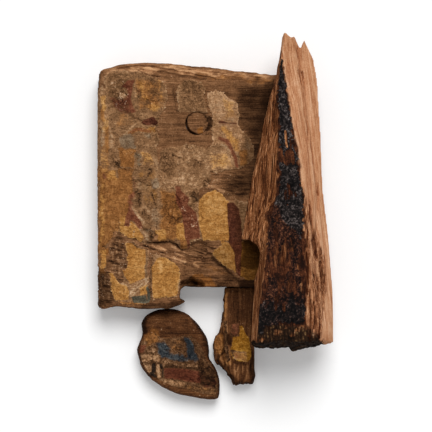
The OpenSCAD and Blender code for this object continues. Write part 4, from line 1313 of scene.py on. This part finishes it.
rounded = {
    "voxel": 0.0006, "fibres": 0.0008, "swell": 0.0018,
    "coat": {"thick": 0.0005, "spacing": 0.0005, "ragged": 1.2, "seed": 101},
    "outline": [
        139, 346, 143, 340, 149, 334, 156, 333, 162, 338, 172, 338, 184, 335, 192, 336, 199, 342, 204, 352,
        206, 358, 211, 364, 216, 372, 218, 384, 216, 395, 206, 395, 190, 391, 174, 387, 160, 381, 150, 375,
        143, 366, 140, 356,
    ],
    "wood": {
        # painted shade along the rounded left and right edges and along the top edge under the panel's foot
        "dark": [
            stroke(4, 0.9, 1.2, 145, 319, 144, 326, 145, 332),
            stroke(2, 0.6, 2, 142, 332, 139, 345, 142, 362, 150, 376),
            stroke(5, 0.6, 3, 195, 320, 204, 334, 207, 350, 210, 362),
            stroke(3, 0.6, 2, 212, 364, 219, 378, 219, 396),
            stroke(3, 0.5, 2, 145, 316, 160, 309, 178, 309),
        ],
        "ochre": [blot(0.6, 4, 142, 334, 156, 328, 160, 336, 146, 342)],
    },
    "paint": {
        "cream": [
            blot(0.6, 3, 140, 353, 150, 353, 161, 356, 161, 362, 142, 362),
            blot(0.5, 2, 142, 362, 151, 363, 152, 375, 146, 373),
            stroke(3.5, 0.9, 1.2, 157.5, 366, 159, 377),
            stroke(4, 0.4, 2.5, 160, 361, 180, 364, 205, 368),
            blot(0.65, 2, 157, 379, 170, 380, 187, 384, 184, 389, 170, 388, 160, 384),
            blot(0.25, 4, 142, 342, 156, 340, 158, 356, 142, 356),
        ],
        "rust": [
            blot(0.6, 3, 143, 336, 157, 331, 159, 343, 146, 346),
            blot(0.35, 3, 170, 340, 184, 338, 184, 352, 172, 352),
            blot(0.35, 3, 186, 385, 216, 388, 216, 396, 190, 392),
        ],
        "slate": [
            blot(0.8, 3.2, 157, 343, 165, 342, 170, 347, 171, 357, 163, 358, 157, 352),
            stroke(5, 0.75, 3, 168, 355, 180, 358, 194, 360),
            blot(0.9, 3, 184, 337, 188, 338, 193, 345, 198, 355, 198, 361, 188, 361, 186, 350),
        ],
        "pale": [
            stroke(1.5, 0.4, 1.2, 142, 356, 158, 359),
            blot(0.2, 1.5, 143, 364, 150, 365, 151, 374, 146, 372),
            stroke(2, 0.4, 1, 157.5, 367, 159, 376),
            blot(0.2, 1.5, 158, 380, 170, 381, 185, 385, 170, 387),
            stroke(2, 0.5, 1, 160, 347, 166, 352),
            stroke(1.5, 0.4, 1, 172, 358, 188, 360),
        ],
        "black": [
            stroke(3.5, 1.1, 1, 153.5, 364.5, 153.5, 371),
            stroke(3.5, 1.1, 1, 151.5, 374, 155, 377),
            stroke(2.6, 1.1, 1, 161, 365, 161.5, 368),
            stroke(2, 0.6, 1, 162.5, 369, 163, 377),
        ],
        "red": [
            blot(0.85, 1.8, 164, 368, 180, 368, 199, 371, 203, 384, 180, 380, 165, 378),
            blot(0.7, 2, 138, 345, 145, 345, 145, 352, 139, 352),
            stroke(4, 0.5, 2, 209, 380, 215, 384),
        ],
        "maroon": [
            blot(0.6, 3, 196, 370, 214, 375, 218, 384, 214, 389, 205, 388, 196, 383),
            blot(0.5, 2.5, 164, 368, 180, 368, 196, 371, 196, 383, 180, 380, 165, 378),
        ],
        "dirt": [
            blot(0.3, 4, 178, 337, 200, 338, 206, 364, 178, 364),
            blot(0.7, 3, 196, 362, 212, 366, 218, 376, 216, 388, 198, 384),
            stroke(2, 0.6, 1.5, 165, 366.5, 196, 369),
            stroke(2, 0.5, 1.5, 152, 379, 170, 386, 190, 391),
            blot(0.35, 3, 157, 378, 188, 384, 184, 390, 158, 384),
            blot(0.3, 2, 164, 368, 196, 371, 196, 383, 165, 378),
        ],
    },
}


def buildRounded():
    obj = copyOfNode("rounded_wood", "roundedWood")
    voxelSkin(obj, rounded["voxel"], 4)
    p, n = pointsOf(obj), normalsOf(obj)
    fibres = (noiseAt(p, (40, 420, 420), 91) - 0.5) * rounded["fibres"]
    swell = (noiseAt(p, 70, 95) - 0.5) * rounded["swell"]
    p = p - n * (fibres + swell)[:, None]
    p[:, 2] = np.maximum(p[:, 2], 0)
    movePoints(obj, p)
    shadeSmooth(obj)
    storeMarks(obj, rounded["wood"], woodMasks, 1.2)
    settle(obj, "rounded", woodFinish("roundedBrown", "x", darkTones), "dark_wood", "rounded_wood")
    coat = layCoat("roundedPlaster", obj, rounded["outline"], rounded["coat"])
    storeMarks(coat, rounded["paint"], paintMasks, 1.0)
    ground = plasterFinish("roundedGround", sootyTones)
    nodes = ("rounded_plaster", "rounded_blue_paint", "rounded_red_paint", "rounded_black_paint")
    settle(coat, "rounded", ground, "tan_plaster", *nodes)
    print("rounded fragment done", len(obj.data.polygons), len(coat.data.polygons))


buildRounded()


chipPatch = (213, 334, 224, 333, 225, 356, 213, 358)

narrow = {
    "voxel": 0.0006, "fibres": 0.0016, "swell": 0.002, "chipped": 0.0032, "recess": 0.0007,
    "footSpread": 0.0014, "footRough": 0.0026,
    "coat": {"thick": 0.0007, "spacing": 0.0005, "ragged": 0.8},
    "wood": {
        "pale": [
            stroke(2.5, 0.55, 1.5, 226, 290, 225, 316, 227, 334),
            stroke(2, 0.5, 1.5, 240, 290, 240, 304),
            stroke(1.5, 0.6, 1.2, 229, 289, 250, 290),
            stroke(1.5, 0.9, 0.8, 220, 356, 223, 364),
            stroke(1.5, 0.9, 0.8, 224, 353, 227, 366),
            stroke(1.8, 0.9, 0.8, 228, 350, 230, 364),
            stroke(1.5, 0.8, 1, 234, 364, 235, 376),
            stroke(1.5, 0.7, 1, 238, 366, 238, 380),
            stroke(1.5, 0.8, 1, 242, 364, 243, 374),
            stroke(1.5, 0.7, 1, 248, 365, 247, 379),
            stroke(2, 0.7, 1, 219, 331, 224, 320),
        ],
        "ochre": [
            blot(0.8, 2, 213, 338, 219, 333, 224, 335, 225, 352, 216, 354),
            stroke(4, 0.5, 2, 226, 290, 225, 330),
            blot(0.4, 3, 216, 354, 230, 350, 234, 366, 222, 368),
        ],
        "dark": [
            # the first blot darkens the upper end beside the panel's foot: painted shade
            blot(0.3, 5, 230, 296, 256, 292, 256, 322, 230, 320),
            blot(0.85, 1.5, 225, 335, 229, 334, 232, 341, 231, 346, 226, 344),
            stroke(1.6, 0.8, 1, 225, 345, 225, 352, 219, 357),
            stroke(3, 0.8, 1.5, 217, 361, 223, 367),
            stroke(3, 0.7, 2, 251, 352, 252, 370, 253, 383),
            stroke(3, 0.5, 2, 232, 376, 236, 383, 254, 383),
            stroke(2, 0.5, 1.5, 232, 362, 246, 364),
        ],
        "torn": [blot(0.5, 3, 230, 362, 254, 362, 254, 386, 232, 386)],
    },
    "paint": {
        "cream": [
            blot(0.6, 2, *chipPatch),
            blot(0.55, 1.8, 233, 351, 246, 351, 249, 357, 244, 362, 234, 361),
        ],
        "rust": [blot(0.8, 2, *chipPatch)],
        "yellow": [
            blot(1.0, 1.5, 239, 325, 245, 326, 247, 336, 252, 342, 252, 352, 230, 350, 231, 337, 239, 336),
            blot(0.8, 2, 245, 350, 252, 350, 252, 362, 246, 362),
            stroke(3, 0.7, 1.5, 230, 352, 233, 360, 242, 362),
        ],
        "ochre": [blot(0.6, 2, 230, 352, 238, 350, 247, 352, 252, 356, 250, 362, 238, 362)],
        "honey": [blot(0.55, 2, 240, 337, 252, 338, 252, 350, 242, 349)],
        "pale": [
            stroke(2, 0.4, 1, 231, 353, 235, 359.5, 243, 361),
            stroke(1.5, 0.6, 1, 236, 350, 243, 351),
            stroke(2, 0.3, 1.5, 221, 336, 223, 348),
            stroke(2, 0.3, 1.5, 233, 342, 238, 348),
        ],
        "red": [
            blot(0.6, 3.5, 229, 323, 241, 321, 240, 332, 237, 339, 231, 338),
            blot(0.4, 2, 232, 351, 243, 351, 244, 358, 234, 359),
        ],
        "dirt": [
            blot(0.4, 2, 224, 320, 232, 320, 232, 366, 224, 366),
            blot(0.25, 2, *chipPatch),
            stroke(2, 0.5, 1.5, 230, 322, 233, 338),
        ],
    },
    "patches": {
        "narrowYellow": {
            "node": "narrow_yellow_paint", "slot": "ochre_plaster",
            "outline": [
                233, 337, 238, 334, 240, 326, 243, 325, 245, 333, 249, 338, 251, 348, 252, 357, 248, 362,
                239, 362, 232, 359, 230, 351, 232, 343,
            ],
        },
        "narrowRed": {
            "node": "narrow_red_paint", "slot": "red_paint",
            "outline": [230, 324, 240, 322, 241, 326, 238, 334, 234, 338, 231, 337],
        },
        "narrowStrip": {
            "node": "narrow_plaster", "slot": "tan_plaster",
            "outline": [223, 322, 227, 320, 228, 345, 231, 361, 227, 363, 225, 350],
        },
        "narrowChip": {
            "node": "narrow_chip", "slot": "tan_plaster",
            "outline": [214, 339, 217, 335, 221, 334, 223, 340, 223, 349, 220, 355, 216, 353, 214, 346],
        },
    },
}


def buildNarrow():
    obj = copyOfNode("narrow_wood", "narrowWood")
    voxelSkin(obj, narrow["voxel"], 4)
    p, n = pointsOf(obj), normalsOf(obj)
    u, v = toPicture(p)
    fibres = noiseAt(p, (420, 20, 420), 111) - 0.5
    swell = noiseAt(p, (120, 40, 120), 115) - 0.5
    chipped = smooth(-n[:, 0], 0.3, 0.8) + smooth(-n[:, 1], 0.3, 0.8)
    chips = chipped * (noiseAt(p, 260, 117) - 0.5) * narrow["chipped"]
    p = p - n * (fibres * narrow["fibres"] + swell * narrow["swell"] + chips)[:, None]
    foot = smooth(v, 368, 381)
    p[:, 0] += foot * smooth(u, 246, 251) * narrow["footSpread"]
    p[:, 1] -= foot * narrow["footRough"] * noiseAt(p, (420, 60, 120), 119)
    p[:, 2] -= narrow["recess"] * smooth(n[:, 2], 0.3, 0.8) * brushed(u, v, narrow["wood"]["dark"][1:4])
    p[:, 2] = np.maximum(p[:, 2], 0)
    movePoints(obj, p)
    shadeSmooth(obj)
    storeMarks(obj, narrow["wood"], woodMasks, 1.0)
    settle(obj, "narrow", woodFinish("narrowBrown", "y", darkTones), "dark_wood", "narrow_wood")
    ground = plasterFinish("narrowGround", sootyTones)
    for k, (name, patch) in enumerate(narrow["patches"].items()):
        coat = layCoat(name, obj, patch["outline"], dict(narrow["coat"], seed=121 + k))
        storeMarks(coat, narrow["paint"], paintMasks, 0.8)
        settle(coat, "narrow", ground, patch["slot"], patch["node"])
    print("narrow fragment done", len(obj.data.polygons))


buildNarrow()
